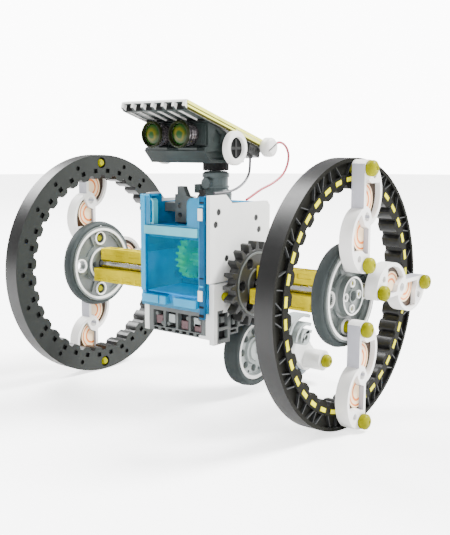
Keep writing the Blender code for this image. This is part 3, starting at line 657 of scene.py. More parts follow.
def add_parts(body, rows):
    """Adds pieces that ride on one body, from rows of add_piece's other values."""
    for name, mesh, *finish in rows:
        add_piece(name, mesh, body, *finish)


def dress_node(name, material, bevel=0.2):
    """Gives a CAD node its finish and softens its edges."""
    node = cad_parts[name]
    node.data.materials.clear()
    node.data.materials.append(MATERIALS[material])
    soften(node, bevel, weld=True)


# ---- wires
def smooth_route(knots, count):
    """Catmull-Rom points through given knots."""
    knots = [Vector(knot) for knot in knots]
    padded = [2 * knots[0] - knots[1]] + knots + [2 * knots[-1] - knots[-2]]
    points = []
    spans = len(knots) - 1
    for i in range(count):
        place = spans * i / (count - 1)
        span = min(int(place), spans - 1)
        t = place - span
        a, b, c, d = padded[span : span + 4]
        second = (2 * a - 5 * b + 4 * c - d) * t**2
        third = (3 * b - a - 3 * c + d) * t**3
        points.append(0.5 * (2 * b + (c - a) * t + second + third))
    return points


def tube(route, radius):
    curve = bpy.data.curves.new("tube", "CURVE")
    curve.dimensions = "3D"
    curve.bevel_depth = radius
    curve.bevel_resolution = 3
    curve.use_fill_caps = True
    add_spline(curve, route, False)
    return curve_mesh(curve, Matrix.Identity(4))


# The CAD routes, with a lead-in at the head's end that reaches into the knob and the clip.
RED_ROUTE = (
    (22.6, 17.2, 114.2),
    (22.6, 21.8, 115.4),
    (22.6, 25.4, 116.0),
    (22.6, 29.6, 114.4),
    (22.6, 32.2, 110.6),
    (22.4, 31.6, 105.6),
    (22.2, 28.0, 101.2),
    (21.8, 21.4, 97.8),
    (21.2, 13.0, 95.2),
    (20.6, 6.6, 92.4),
    (20.2, 3.4, 91.0),
)
BLACK_ROUTE = (
    (17.6, 9.4, 109.0),
    (18.0, 8.6, 104.2),
    (18.2, 7.2, 101.4),
    (18.8, 3.6, 98.6),
    (19.6, -2.2, 96.4),
    (20.2, -8.0, 95.3),
    (20.2, -13.0, 94.9),
    (20.2, -19.2, 94.9),
)


def add_wire(name, knots, count, material):
    """A thin lead along its route, baked in place."""
    route = smooth_route(knots, count)
    low, high = (in_row((HEAD_X, NECK_Y, z)) for z in WIRE_TURN_Z)
    swivel = ("chassis", "head", low, high)
    shape = tube(route, WIRE_RADIUS)
    piece = add_piece(f"{name}_look", shape, None, material, name, f"{material}_wire", blend=swivel)


# ---- ring wheels
def sector(radii, middle, half, count=4, centre=AXLE_SPOT):
    """Outline of a short stretch of a ring, in degrees about its centre."""
    outer = arc(centre, radii[1], middle - half, middle + half, count)
    inner = arc(centre, radii[0], middle + half, middle - half, count)
    return outer + inner


def lug_middles():
    return [(lug + 0.5) * LUG_STEP for lug in range(RING_LUGS)]


def lug_outline():
    """The ring's inner edge: one tooth-like lug per step, as radii and shares of the step."""
    corners = ((RING_BORE, 0.03), (RING_LUG_BORE + 0.3, 0.14), (RING_LUG_BORE, 0.24))
    corners += ((RING_LUG_BORE, 0.58), (RING_LUG_BORE + 0.3, 0.68), (RING_BORE, 0.79))
    lugs = range(RING_LUGS)
    return [polar(AXLE_SPOT, r, (lug + part) * LUG_STEP) for lug in lugs for r, part in corners]


def ring_mesh():
    """The right ring: groove and dash beds in its outer face, dimples and notches in its inner."""
    low, high = RING_X
    holes = [circle(polar(AXLE_SPOT, RING_PEGS, a), PEG_BORE, 20) for a in SPOKE_ANGLES.values()]
    body = slab(circle(AXLE_SPOT, RING_RADIUS, 144), [lug_outline()] + holes, RING_X)
    cutters = [ring_band(AXLE_SPOT, GROOVE_RADII, (high - GROOVE_DEPTH, high + 1.0), 144)]
    for middle in lug_middles():
        cutters.append(slab(sector(DASH_RADII, middle, DASH_HALF_ANGLE), [], (high - 0.6, high + 1)))
        cutters.append(slab(sector(NOTCH_RADII, middle, 1.5, 2), [], (low - 1.0, low + 1.6)))
    for i in range(DIMPLES):
        angle = 360.0 / DIMPLES * i
        if angle not in SPOKE_ANGLES.values():
            place = polar(AXLE_SPOT, RING_PEGS, angle)
            cutters.append(rod(place, DIMPLE_RADIUS, (low - 1.0, low + 1.2), 14))
    body = paint_facing(cut(body, cutters), Vector((-1, 0, 0)), 1)
    return paint_facing(body, Vector((1, 0, 0)), 2)


def ring_rib_mesh():
    """Thin radial and slanted ribs on the floor of the ring's groove."""
    ends = (RING_X[1] - GROOVE_DEPTH - 0.2, RING_X[1] - 0.25)
    ribs = []
    for lug in range(RING_LUGS):
        for first, last in RIB_SLANTS[lug % 3]:
            low = Vector(polar(AXLE_SPOT, GROOVE_RADII[0] - 0.1, lug * LUG_STEP + first))
            high = Vector(polar(AXLE_SPOT, GROOVE_RADII[1] + 0.1, lug * LUG_STEP + last))
            across = (high - low).orthogonal().normalized() * RIB_HALF
            outline = [low + across, low - across, high - across, high + across]
            ribs.append(slab(outline, [], ends))
    return gathered(ribs)


def ring_dash_mesh():
    """The dash marks, one to a lug, standing a little proud of their beds."""
    ends = (RING_X[1] - 0.7, RING_X[1] + 0.12)
    radii = (DASH_RADII[0] + 0.1, DASH_RADII[1] - 0.1)
    half = DASH_HALF_ANGLE - 0.1
    return gathered([slab(sector(radii, middle, half), [], ends) for middle in lug_middles()])


def hub_mesh():
    """The hub: a rim, a sunk web with pockets and holes, and a boss with a ring on its end."""
    low, high = HUB_X
    web_low, web_high = HUB_WEB_X
    rim, boss, end = HUB_RADIUS - 2.0, HUB_BOSS, HUB_BOSS_END
    profile = [(low, rim), (low, HUB_RADIUS), (high, HUB_RADIUS), (high, rim), (web_high + 0.8, rim)]
    profile += [(web_high, rim - 0.8), (web_high, boss + 0.8), (web_high + 0.8, boss), (end, boss)]
    profile += [(end, boss - 0.9), (end - 0.8, boss - 1.0), (end - 0.8, 2.9), (end, 2.9)]
    profile += [(end, AXLE_BORE), (low, AXLE_BORE), (low, boss), (web_low, boss), (web_low, rim)]
    cutters = []
    for distance, radius in ((HUB_PEGS, PEG_BORE), (HUB_SMALL_HOLES, HUB_SMALL_RADIUS)):
        for i in range(4):
            place = polar(AXLE_SPOT, distance, 90 * i)
            cutters.append(rod(place, radius, (low - 1.0, end + 1.0), 20, start=4.0))
    for i in range(4):
        for pocket in ((web_high - 0.9, web_high + 1.0), (web_low - 1, web_low + 0.9)):
            cutters.append(slab(sector(HUB_POCKET, 45 + 90 * i, 21, 6), [], pocket))
    return cut(lathe(profile, AXLE_SPOT, 72), cutters)


def hub_trim_mesh():
    """White lines of the hub on its rim edges, boss edge and the collars round its holes: the white plastic's
    own colour kept where the edges catch the light, a painted highlight against the hub's painted shade.
    """
    rim, collar = (HUB_RADIUS - 2.1, HUB_RADIUS - 0.9), (PEG_BORE, PEG_BORE + 0.75)
    parts = [ring_band(AXLE_SPOT, rim, (HUB_X[1] - 0.6, HUB_X[1] + 0.16), 72)]
    parts.append(ring_band(AXLE_SPOT, rim, (HUB_X[0] - 0.16, HUB_X[0] + 0.6), 72))
    end = (HUB_BOSS_END - 0.5, HUB_BOSS_END + 0.14)
    parts.append(ring_band(AXLE_SPOT, (HUB_BOSS - 0.8, HUB_BOSS - 0.1), end))
    back = (HUB_X[0] - 0.14, HUB_X[0] + 0.4)
    parts.append(ring_band(AXLE_SPOT, (HUB_BOSS - 0.9, HUB_BOSS + 0.1), back))
    outer = (HUB_WEB_X[1] - 0.5, HUB_WEB_X[1] + 0.7)
    inner = (HUB_WEB_X[0] - 0.7, HUB_WEB_X[0] + 0.5)
    small = (HUB_BOSS_END - 1.2, HUB_BOSS_END - 0.2)
    for i in range(4):
        far = polar(AXLE_SPOT, HUB_PEGS, 90 * i)
        near = polar(AXLE_SPOT, HUB_SMALL_HOLES, 90 * i)
        parts += [ring_band(far, collar, outer, 28), ring_band(far, collar, inner, 28)]
        parts.append(ring_band(near, (HUB_SMALL_RADIUS, HUB_SMALL_RADIUS + 0.5), small, 20))
    return gathered(parts)


def hub_pin_mesh():
    """Ends of the bars' pins in three of the boss holes."""
    ends = (HUB_BOSS_END - 4.0, HUB_BOSS_END - 1.0)
    places = [polar(AXLE_SPOT, HUB_SMALL_HOLES, angle) for angle in (0, 90, 270)]
    return gathered([rod(place, HUB_SMALL_RADIUS - 0.1, ends, 16) for place in places])


def tyre_mesh(centre, inner, outer, ends):
    """A tyre with rounded edges and a slight crown."""
    low, high = ends
    edge, crown = 1.3, 0.35
    shoulder = outer - edge - crown
    turns = [math.radians(90 * i / 4) for i in range(5)]
    near = [(low + edge * (1 - math.cos(turn)), shoulder + edge * math.sin(turn)) for turn in turns]
    far = [(low + high - along, radius) for along, radius in reversed(near)]
    profile = [(low, inner), (low, shoulder)] + near + [((low + high) / 2, outer)] + far
    return lathe(profile + [(high, shoulder), (high, inner)], centre, 80)


def lobe_edge():
    """One D-shaped half of a spoke, from the middle hole's side round the bulge to its flat edge."""
    start = math.degrees(math.asin(LOBE_FLAT / LOBE_BULGE))
    points = []
    for i in range(19):
        turn = math.radians(start + (180 - start) * i / 18)
        points.append((LOBE_CENTRE - LOBE_SEMI * math.cos(turn), LOBE_BULGE * math.sin(turn)))
    end = LOBE_CENTRE + LOBE_SEMI
    return points + [(end - 0.4, -1.8), (end - 1.6, -LOBE_FLAT)]


def recess_edge(inset=0.0):
    """The sunk face inside a lobe, clear of the bosses round its holes."""
    semi, bulge = RECESS_SEMI - inset, RECESS_BULGE - inset
    points = [(4.6 + inset, -1.4 + inset), (3.4 + inset, 1.6), (0.9 + inset, 3.2)]
    for i in range(11):
        turn = math.radians(26 + 84 * i / 10)
        points.append((LOBE_CENTRE - semi * math.cos(turn), bulge * math.sin(turn)))
    return points + [(13.1 - inset, 3.0), (14.6 - inset, 0.4), (14.6 - inset, -1.4 + inset)]


def on_lobe(points, lobe):
    """Lobe points to (distance from the axle, side): lobe -1 is the half nearer the hub."""
    return [(SPOKE_MIDDLE + lobe * s, -lobe * w) for s, w in points]


def spoke_mesh():
    """A spoke that points along +Y from the axle, before it is turned into place."""
    outline = on_lobe(lobe_edge(), -1) + on_lobe(lobe_edge(), 1)
    holes = [circle((SPOKE_MIDDLE, 0.0), 1.9, 20)]
    for lobe in (-1, 1):
        holes.append(circle((SPOKE_MIDDLE + lobe * SPOKE_PEG, 0.0), PEG_BORE, 20))
        holes.append(circle(on_lobe([(16.2, 5.2)], lobe)[0], 1.4, 16))
    body = slab(outline, holes, SPOKE_X)
    cutters = []
    for lobe in (-1, 1):
        for depth in ((SPOKE_X[0] - 1.0, SPOKE_WEB_X[0]), (SPOKE_WEB_X[1], SPOKE_X[1] + 1.0)):
            cutters.append(slab(on_lobe(recess_edge(), lobe), [], depth))
    body = cut(body, cutters)
    # The flat side walls along the lobes, and the recess walls facing the same way, are painted grey: painted
    # shade on the white spokes.
    edge = LOBE_FLAT + 0.4
    return paint_where(body, 1, lambda centre, normal: abs(normal.z) > 0.98 and abs(centre.z) < edge)


def swirl_mesh():
    """Printed discs in a spoke's recesses: brown ground with orange and cream bands."""
    bands = ((0.0, 3.2, 2), (3.2, 4.2, 1), (4.2, 5.6, 2), (5.6, 6.3, 1), (6.3, 7.0, 2))
    centre = (6.6, 0.4)
    inside = slab(recess_edge(0.3), [], (-1.0, 1.0))
    layers = [slab(recess_edge(0.15), [], (0.0, 0.25))]
    for inner, outer, number in bands:
        holes = [circle(centre, inner, 32)] if inner else []
        band = slab(circle(centre, outer, 32), holes, (0.1, 0.42))
        layers.append(paint(boolean(band, [inside], "INTERSECT"), number))
    layer = gathered(layers)
    placed = []
    for lobe in (-1, 1):
        for face, outward in ((SPOKE_WEB_X[1], 1), (SPOKE_WEB_X[0], -1)):
            rows = ((outward, 0, 0, face), (0, lobe, 0, SPOKE_MIDDLE), (0, 0, -lobe, 0), (0, 0, 0, 1))
            placed.append(moved(layer, Matrix(rows)))
    return gathered(placed)


def peg_mesh(shaft_start, head_start):
    """A snap peg along +X at the origin: shaft, collar and a domed head with a flat top."""
    top = head_start + PEG_HEAD_HEIGHT
    profile = [(shaft_start, 0.0), (shaft_start, 1.3), (shaft_start + 2.0, PEG_SHAFT)]
    profile += [(head_start, PEG_SHAFT), (head_start, PEG_HEAD - 0.2), (head_start + 0.3, PEG_HEAD)]
    profile += [(top - 1.5, PEG_HEAD), (top - 0.9, PEG_HEAD - 0.25), (top - 0.35, PEG_HEAD - 0.9)]
    profile += [(top, PEG_HEAD - 1.7), (top, 1.0), (top - 0.35, 0.7), (top - 0.35, 0.0)]
    return lathe(profile, (0.0, 0.0), 28)


def bar_mesh(sign, ends):
    """One of the two bars of a right wheel, with shallow panels in its front, back and top."""
    first = math.degrees(math.acos(BAR_SIDES[0] / AXLE_NOTCH))
    last = math.degrees(math.asin(BAR_INNER / AXLE_NOTCH))
    notch = arc((0.0, 0.0), AXLE_NOTCH, first, last, 8)
    back, front = BAR_SIDES
    top = BAR_INNER + BAR_HEIGHT
    body = slab([(front, BAR_INNER), (front, top), (back, top)] + notch, [], ends)
    count = max(2, round((ends[1] - ends[0]) / BAR_PANEL))
    cutters = []
    for span in even_spans(count, *ends, 0.72):
        for side in BAR_SIDES:
            cutters.append(box(span, (side - 0.45, side + 0.45), (BAR_INNER + 3.2, top - 1.3)))
        cutters.append(box(span, (back + 1.3, front - 1.3), (top - 0.45, top + 1)))
    place = Matrix.Translation((0, 0, AXLE_Z)) @ Matrix.Diagonal((1, sign, sign, 1))
    return moved(cut(body, cutters), place)


def wheel_turn(side, angle):
    """From a right-hand shape along +Y to its place on a wheel, at an angle about the axle."""
    turn = Matrix.Translation((0, 0, AXLE_Z)) @ Matrix.Rotation(math.radians(angle), 4, "X")
    return mirrored(side) @ turn


def add_wheels():
    tyre = tyre_mesh(AXLE_SPOT, HUB_RADIUS + GAP, TYRE_RADIUS, TYRE_X)
    round_parts = (
        ("ring_{}_shaped", ring_mesh(), "ring ring_face ring_shade", "ring_{}", "ring_black", 0.25),
        ("ring_{}_ribs", ring_rib_mesh(), "ring_rib", "", "ring_black", 0.0),
        ("ring_{}_dashes", ring_dash_mesh(), "dash", "", "yellow_plastic", 0.12),
        # The white plastic hub is painted dark grey as painted shade; its trim keeps the edges white as
        # painted highlight.
        ("hub_{}_shaped", hub_mesh(), "hub_grey", "hub_{}", "white_plastic", 0.12),
        ("hub_{}_trim", hub_trim_mesh(), "white", "", "white_plastic", 0.08),
        ("hub_{}_pins", hub_pin_mesh(), "olive", "", "yellow_plastic", 0.15),
        ("hub_tyre_{}_shaped", tyre, "rubber", "hub_tyre_{}", "tyre_rubber", 0.0),
    )
    spoke, swirl = spoke_mesh(), swirl_mesh()
    pegs = {
        "hub": (peg_mesh(HUB_WEB_X[0], SPOKE_X[1] + GAP), HUB_PEGS),
        "ring": (peg_mesh(RING_X[0] - 0.4, SPOKE_X[1] + GAP), RING_PEGS),
    }
    for side, hand in SIDES:
        body = f"wheel_{hand}"
        for name, mesh, materials, node, slot, bevel in round_parts:
            shape = moved(mesh, mirrored(side))
            add_piece(name.format(hand), shape, body, materials, node.format(hand), slot, bevel)
        for word, sign in (("upper", 1), ("lower", -1)):
            bar = bar_mesh(sign, (BAR_STARTS[hand], HUB_X[0] - GAP))
            name = f"bar_{word}_{hand}"
            bar = moved(bar, mirrored(side))
            add_piece(f"{name}_shaped", bar, body, "yellow", name, "yellow_plastic", 0.2)
        for place, angle in SPOKE_ANGLES.items():
            turn = wheel_turn(side, angle)
            name = f"spoke_{place}_{hand}"
            shape = moved(spoke, turn)
            add_piece(f"{name}_shaped", shape, body, "warm_white flat_grey", name, "white_plastic", 0.22)
            add_piece(f"{name}_swirl", moved(swirl, turn), body, "brown orange cream")
            for end, (mesh, distance) in pegs.items():
                name = f"peg_{end}_{place}_{hand}"
                peg = moved(mesh, turn @ Matrix.Translation((0, distance, 0)))
                add_piece(f"{name}_shaped", peg, body, "olive", name, "yellow_plastic")


# ---- gearbox and chassis
def even_spans(count, low, high, fill):
    """Even spans across low..high, each filling a share of its place."""
    step = (high - low) / count
    return [(low + (i + 0.5 - fill / 2) * step, low + (i + 0.5 + fill / 2) * step) for i in range(count)]


def housing_shell_mesh():
    """The clear shell: walls, shelf, upper opening and a window for the front pane."""
    inner_x = (BODY_X[0] + WALL, BODY_X[1] - WALL)
    inner_y = (BODY_Y[0] + WALL, BODY_Y[1] - WALL)
    top = BODY_Z[1] + 2.0
    shell = box(BODY_X, BODY_Y, BODY_Z)
    cutters = [box(inner_x, inner_y, (BODY_Z[0] + 1.0, SHELF_Z[0]))]
    passage = ((inner_x[0] + 1.0, inner_x[1] - 1.0), (-12.0, inner_y[1] - 1.0))
    cutters.append(box(*passage, (SHELF_Z[0] - 5.0, SHELF_Z[1] + 5.0)))
    cutters.append(box(inner_x, inner_y, (SHELF_Z[1], top)))
    outline = [(-14.0, SHELF_Z[1] + 0.4), (7.5, SHELF_Z[1] + 0.4), (7.5, 89.6)]
    outline += arc((10.6, 89.6), 3.1, 180, 90, 8) + [(14.0, 92.7), (14.0, top), (-14.0, top)]
    cutters.append(slab(outline, [], (BODY_Y[0] - 2.0, BODY_Y[0] + 2.0), "Y"))
    cutters.append(box(PANE_SPANS[0], (BODY_Y[0] - 1.0, BODY_Y[0] + 2.0), PANE_SPANS[1]))
    cutters.append(rod(AXLE_SPOT, 3.2, (BODY_X[0] - 2.0, BODY_X[1] + 2.0), 32))
    cutters.append(box((-30.0, 30.0), (-9.6, BODY_Y[1] + 2.0), (89.4, top)))
    return boolean(shell, cutters)


def housing_pane_mesh():
    (low, high), (bottom, top) = PANE_SPANS
    front = BODY_Y[0]
    return box((low + 0.05, high - 0.05), (front + 0.15, front + 0.95), (bottom + 0.05, top - 0.05))


def housing_edge_mesh():
    """Corner posts, lower rim and stiffening ribs on the clear shell's front, in a lighter blue that is a
    painted highlight on the clear plastic's edges.
    """
    front = BODY_Y[0]
    post = box((-19.7, -16.9), (front - 0.5, front + 1.0), (50.0, 93.2))
    lip = box((-19.6, -14.4), (front - 0.35, front + 6.0), (92.4, 93.4))
    strip = box((14.2, 15.6), (front - 0.35, front + 1.0), (49.6, 93.2))
    rims = [box(x, (front - 2.5, front), (45.3, 49.0)) for x in ((-17.6, -7.4), (-6.8, -3.0), (1.6, 14.6))]
    return gathered([post, lip, strip] + rims)


def housing_rear_mesh():
    """The back of the clear shell: two long ribs, a slatted hatch and four screws in bosses."""
    rear = BODY_Y[1]
    boss_ends, screw_ends = (rear - 0.2, rear + 0.8), (rear - 0.1, rear + 0.4)
    hatch = box((-9.6, 9.0), (rear - 0.2, rear + 0.9), (54.0, 79.0))
    slats = [box((-7.4, 6.8), (rear + 0.3, rear + 1.2), z) for z in even_spans(7, 57.0, 76.0, 0.7)]
    parts = [box((x - 0.6, x + 0.6), (rear - 0.2, rear + 0.7), (46.0, 87.0)) for x in (-12.6, 12.0)]
    parts.append(cut(hatch, slats))
    for x in (-16.6, 16.0):
        for z in (47.0, 86.0):
            parts.append(slab(circle((x, z), 1.9, 28), [circle((x, z), 1.2, 20)], boss_ends, "Y"))
            parts.append(paint(rod((x, z), 1.15, screw_ends, 20, "Y"), 1))
    return gathered(parts)


def arch(centre, half, bottom, top):
    """Outline of an upright strip with a round top."""
    corners = [(centre - half, bottom), (centre + half, bottom)]
    return corners + arc((centre, top - half), half, 0, 180, 10)


def housing_shelf_mesh():
    """Pale shelf lip and the two arched uprights of the upper opening."""
    front = BODY_Y[0]
    parts = [box((-16.8, 14.4), (front - 1.3, front + 0.4), (75.9, 79.7))]
    for centre, half in ((-14.2, 1.9), (11.4, 3.0)):
        inner = arch(centre, half - 0.8, 81.0, 90.8)
        parts.append(slab(arch(centre, half, 80.2, 91.6), [inner], (front + 0.3, front + 3.4), "Y"))
    return gathered(parts)


def housing_core_mesh():
    """Inside the clear shell: side wall, partition, floor, a dark ceiling and a motor seat; the floor is
    painted light, and the ceiling, the back and the wall tops are painted shade.
    """
    low, front = BODY_X[0] + WALL + 0.05, BODY_Y[0] + WALL
    floor = 49.6
    wall = ((low, low + 0.5), (front + 0.2, 16.0))
    partition = ((low + 0.6, 2.4), (3.6, 4.4))
    # Material numbers: 0 the inner blue, 1 painted light on the floor, 2 and 3 painted shade under the shelf
    # and at the back.
    parts = blocks((
        (*wall, (floor + 0.5, 67.0), 0),
        (*wall, (67.1, 70.4), 3),
        (*wall, (70.5, 74.0), 2),
        (*partition, (floor + 0.5, 63.0), 0),
        (*partition, (63.1, 66.4), 3),
        ((2.8, 17.4), (11.2, 12.0), (floor + 0.5, 74.0), 3),
        ((low, 7.2), (front + 0.2, 3.4), (floor, floor + 0.4), 1),
        ((7.3, 17.4), (front + 0.2, -11.2), (floor, floor + 0.4), 1),
        ((low + 0.6, 17.4), (front + 0.3, -12.4), (74.4, 75.4), 2),
    ))
    motor_seat = ring_band((-8.6, 61.0), (4.2, 5.0), (2.9, 3.7), 40, "Y")
    return gathered(parts + [paint(motor_seat, 3)])


def flange_detail_mesh():
    """White clips, dark pins and seams on the blue corner flange."""
    front = BODY_Y[0] - 2.0
    clip, pin = ((15.5, 18.0), (front - 0.4, front + 1.2)), ((16.1, 18.6), (front - 0.2, front + 1.2))
    seam = ((16.2, 18.4), (front - 0.25, front + 1.0))
    pins = ((93.6, 96.4), (90.6, 91.4), (58.6, 59.2), (46.0, 47.0), (42.0, 43.4))
    rows = [(*clip, z, 0) for z in ((83.4, 88.6), (49.0, 53.6))] + [(*pin, z, 1) for z in pins]
    return gathered(blocks(rows + [(*seam, (low, low + 0.9), 2) for low in (89.2, 55.0)]))


def left_plate_mesh():
    outline = [(-18.9, 46.0), (-18.9, 92.0), (-16.0, 93.6), (-9.0, 93.6), (-6.0, 90.6), (16.0, 90.6)]
    outline += [(18.0, 88.6), (18.0, 46.0)]
    holes = [circle(place, 1.5, 18) for place in ((-14.0, 84.0), (11.0, 84.0))]
    holes.append(circle(AXLE_SPOT, AXLE_BORE, 28))
    high = BODY_X[0] - GAP
    return slab(outline, holes, (high - 2.0, high))


def bracket_outline():
    base = BRACKET_BASE
    points = [(-21.0, base), (-21.0, 56.4), (-9.4, 56.4), (-9.4, 43.6), (7.0, 43.6), (7.0, base + 5.6)]
    return points + [(-4.0, base + 5.6), (-4.0, base + 3.0), (-10.0, base + 3.0), (-10.0, base)]


def bracket_mesh():
    """Under the right plate: a white front strip, then grey steps with square hollows and blocks."""
    low, high = BODY_X[1] + GAP, BRACKET_FACE
    hollows = (((-17.6, -11.6), (37.0, 43.2)), ((-17.6, -11.6), (31.8, 35.6)), ((-9.4, -4.6), (35.6, 41.6)))
    hollows += (((-2.6, 4.8), (37.2, 41.6)), ((-9.6, -5.4), (33.6, 34.8)))
    body = slab(bracket_outline(), [], (low, high))
    body = cut(body, [box((high - 1.7, high + 1.0), y, z) for y, z in hollows])
    paint_where(body, 1, lambda centre, normal: centre.y < -18.4 or centre.z > 45.0)
    # The floors of the square hollows are painted dark: painted shade in the hollows.
    sunk = (low + 0.5, high - 0.5)
    paint_where(body, 2, lambda centre, normal: abs(normal.x) > 0.9 and sunk[0] < centre.x < sunk[1])
    stubs = (((-16.0, -13.6), (39.0, 41.6)), ((-8.0, -6.2), (37.0, 39.6)))
    return gathered([body] + [box((high - 1.5, high - 0.2), y, z) for y, z in stubs])


def bracket_edge_mesh():
    """White face strips laid over the bracket's front edge and its top plate."""
    x = (BRACKET_FACE - 0.5, BRACKET_FACE + 0.12)
    front = box(x, (-21.1, -18.8), (BRACKET_BASE + 0.1, 56.3))
    return gathered([front, box(x, (-18.9, -9.6), (44.6, 56.3))])


def chassis_mesh():
    """Grey block under the gearbox: a row of sunk bays over small slots, with blocks and pins in the bays."""
    base, front = CHASSIS_BASE, CHASSIS_FRONT
    depth = (front - 1.0, front + 2.4)
    bays = [box(x, depth, (base + 2.2, 41.2)) for x in even_spans(4, -15.2, 14.6, 0.82)]
    spans = even_spans(7, -15.0, 14.4, 0.6)
    slots = [box(x, (front - 1.0, front + 0.8), (base + 0.5, base + 1.6)) for x in spans]
    body = cut(box(BODY_X, (front, -6.5), (base, BODY_Z[0] - GAP)), bays + slots)
    # The back faces of the sunk bays are painted dark: painted shade in the bays.
    parts = [paint_where(body, 1, lambda centre, normal: normal.y < -0.9 and centre.y > front + 0.5)]
    for x, z, number in ((-11.4, 37.2, 2), (-4.0, 38.4, 3), (3.6, 36.4, 2), (10.8, 38.6, 3), (11.2, 35.9, 2)):
        block = box((x - 2.0, x + 1.8), (front + 1.0, front + 3.0), (z - 2.2, z + 1.6))
        parts.append(paint(block, number))
    for place in ((-12.6, 39.6), (-9.2, 35.4), (-5.6, 35.6), (5.6, 39.4), (12.6, 40.0)):
        parts.append(rod(place, 0.9, (front + 0.4, front + 3.0), 14, "Y"))
    return gathered(parts)


def chassis_trim_mesh():
    """White edges of the lower chassis: a post at each end and the lip along its bottom right."""
    base, face = CHASSIS_BASE, CHASSIS_FRONT - 0.25
    left = box((-19.7, -16.9), (face, -17.0), (base - 0.1, 43.2))
    lip = box((12.6, 19.1), (face, -16.0), (base - 0.2, base + 1.4))
    return gathered([left, lip, box((16.6, 19.1), (face, -18.0), (base + 1.3, 43.0))])


def outer_gear_detail_mesh():
    """Two raised rings on the big gear's face and yellow rods set in three of its windows."""
    face = OUTER_GEAR_FACE
    parts = [ring_band(AXLE_SPOT, (13.2, 14.1), (face - 0.3, face + 0.35))]
    parts.append(ring_band(AXLE_SPOT, (6.0, 7.0), (face - 0.3, face + 0.3)))
    for angle in (30, 90, 270):
        pin = rod(polar(AXLE_SPOT, 10.5, angle), 2.1, (face - 3.6, face - 0.9), 20)
        parts.append(paint(pin, 1))
    return gathered(parts)


def lower_wheel_mesh():
    """The lower wheel: white rim, grey web with round holes and a stepped hub."""
    low, high = LOWER_WHEEL_X
    rim = LOWER_RIM
    profile = [(4.2, 0.0), (4.2, 2.0), (low, 2.0), (low, rim), (high - 0.6, rim), (high - 0.6, rim - 1.7)]
    profile += [(high - 2.4, rim - 2.0), (high - 2.4, 6.8), (high - 1.2, 6.4), (high - 1.2, 5.0)]
    profile += [(high - 0.4, 4.6), (high - 0.4, 1.8), (high - 1.2, 1.5), (high - 1.2, 0.0)]
    holes = []
    for distance, first, radius, depth, sides in ((8.6, 0.0, 1.8, 5.0, 20), (10.4, 22.5, 0.8, 4.4, 12)):
        for i in range(8):
            place = polar(LOWER_WHEEL, distance, first + 45 * i)
            holes.append(rod(place, radius, (high - depth, high + 1), sides))
    body = cut(lathe(profile, LOWER_WHEEL, 72), holes)
    middle, web = Vector(LOWER_WHEEL), high - 4.0

    def on_rim(centre, normal):
        return (centre.yz - middle).length > rim - 1.9 and normal.x > 0.5

    paint_where(body, 1, on_rim)
    # The floors of the blind holes are painted dark: painted shade in the holes.
    return paint_where(body, 2, lambda centre, normal: normal.x > 0.9 and centre.x < web)


def add_housing():
    # The inner blue with its painted-light floor and two painted-shade copies.
    core = "inner_wall inner_floor dark_blue inner_back"
    grey, white, bracket = "mid_grey dark maroon light_grey", "white_plastic", "mid_grey white dark"
    right = BODY_X[1] + GAP
    # Dark discs at the back of the side plate's holes: painted shade in the holes.
    hole_shade_discs = gathered([rod(place, 1.42, (right + 0.1, right + 1.6), 18) for place in PLATE_HOLES])
    place = Matrix.Translation((BRACKET_FACE, *BRACKET_PEG)) @ Matrix.Scale(BRACKET_PEG_SCALE, 4)
    peg = moved(peg_mesh(-3.0, 0.2), place)
    parts = (
        # The front edges in the lighter blue are painted highlight.
        ("housing_edges", housing_edge_mesh(), "bright_blue", "", "clear_blue", 0.3),
        ("housing_shelf", housing_shelf_mesh(), "pale_cyan", "", "clear_blue", 0.3),
        ("housing_shell", housing_shell_mesh(), "clear_blue", "gearbox_housing", "clear_blue", 0.2),
        ("housing_rear", housing_rear_mesh(), "bright_blue steel", "", "clear_blue", 0.15),
        ("housing_pane", housing_pane_mesh(), "clear_pane", "", "clear_blue"),
        ("housing_core", housing_core_mesh(), core),
        ("side_plate_left_shaped", left_plate_mesh(), "white", "side_plate_left", white, 0.2),
        ("flange_details", flange_detail_mesh(), "white dark bright_blue", "", None, 0.2),
        ("side_bracket_shaped", bracket_mesh(), bracket, "side_bracket", white, 0.2),
        ("side_bracket_strips", bracket_edge_mesh(), "white", "", white, 0.1),
        ("lower_chassis_shaped", chassis_mesh(), grey, "lower_chassis", "grey_plastic", 0.2),
        ("lower_chassis_trim", chassis_trim_mesh(), "white", "", white, 0.2),
        ("plate_hole_shade", hole_shade_discs, "charcoal"),
        ("bracket_peg", peg, "olive", "", "yellow_plastic"),
    )
    add_parts("chassis", parts)
    for name, material in BODY_FINISHES.items():
        dress_node(name, material)


def add_drive():
    tyre = tyre_mesh(LOWER_WHEEL, LOWER_RIM + GAP, LOWER_WHEEL_RADIUS, LOWER_WHEEL_X)
    gear = outer_gear_detail_mesh()
    add_piece("outer_gear_details", gear, "wheel_right", "mid_grey olive", "", "dark_plastic", 0.15)
    looks = "light_grey white dark"
    parts = (
        ("lower_wheel_shaped", lower_wheel_mesh(), looks, "lower_wheel", "grey_plastic", 0.15),
        ("lower_tyre_shaped", tyre, "rubber", "lower_tyre", "tyre_rubber"),
    )
    add_parts("guide_wheel", parts)


# ---- tail
def capsule(start, end, first, last, count=14):
    """Outline round two circles of different size."""
    along = math.degrees(math.atan2(end[1] - start[1], end[0] - start[0]))
    return arc(start, first, along + 90, along + 270, count) + arc(end, last, along - 90, along + 90, count)


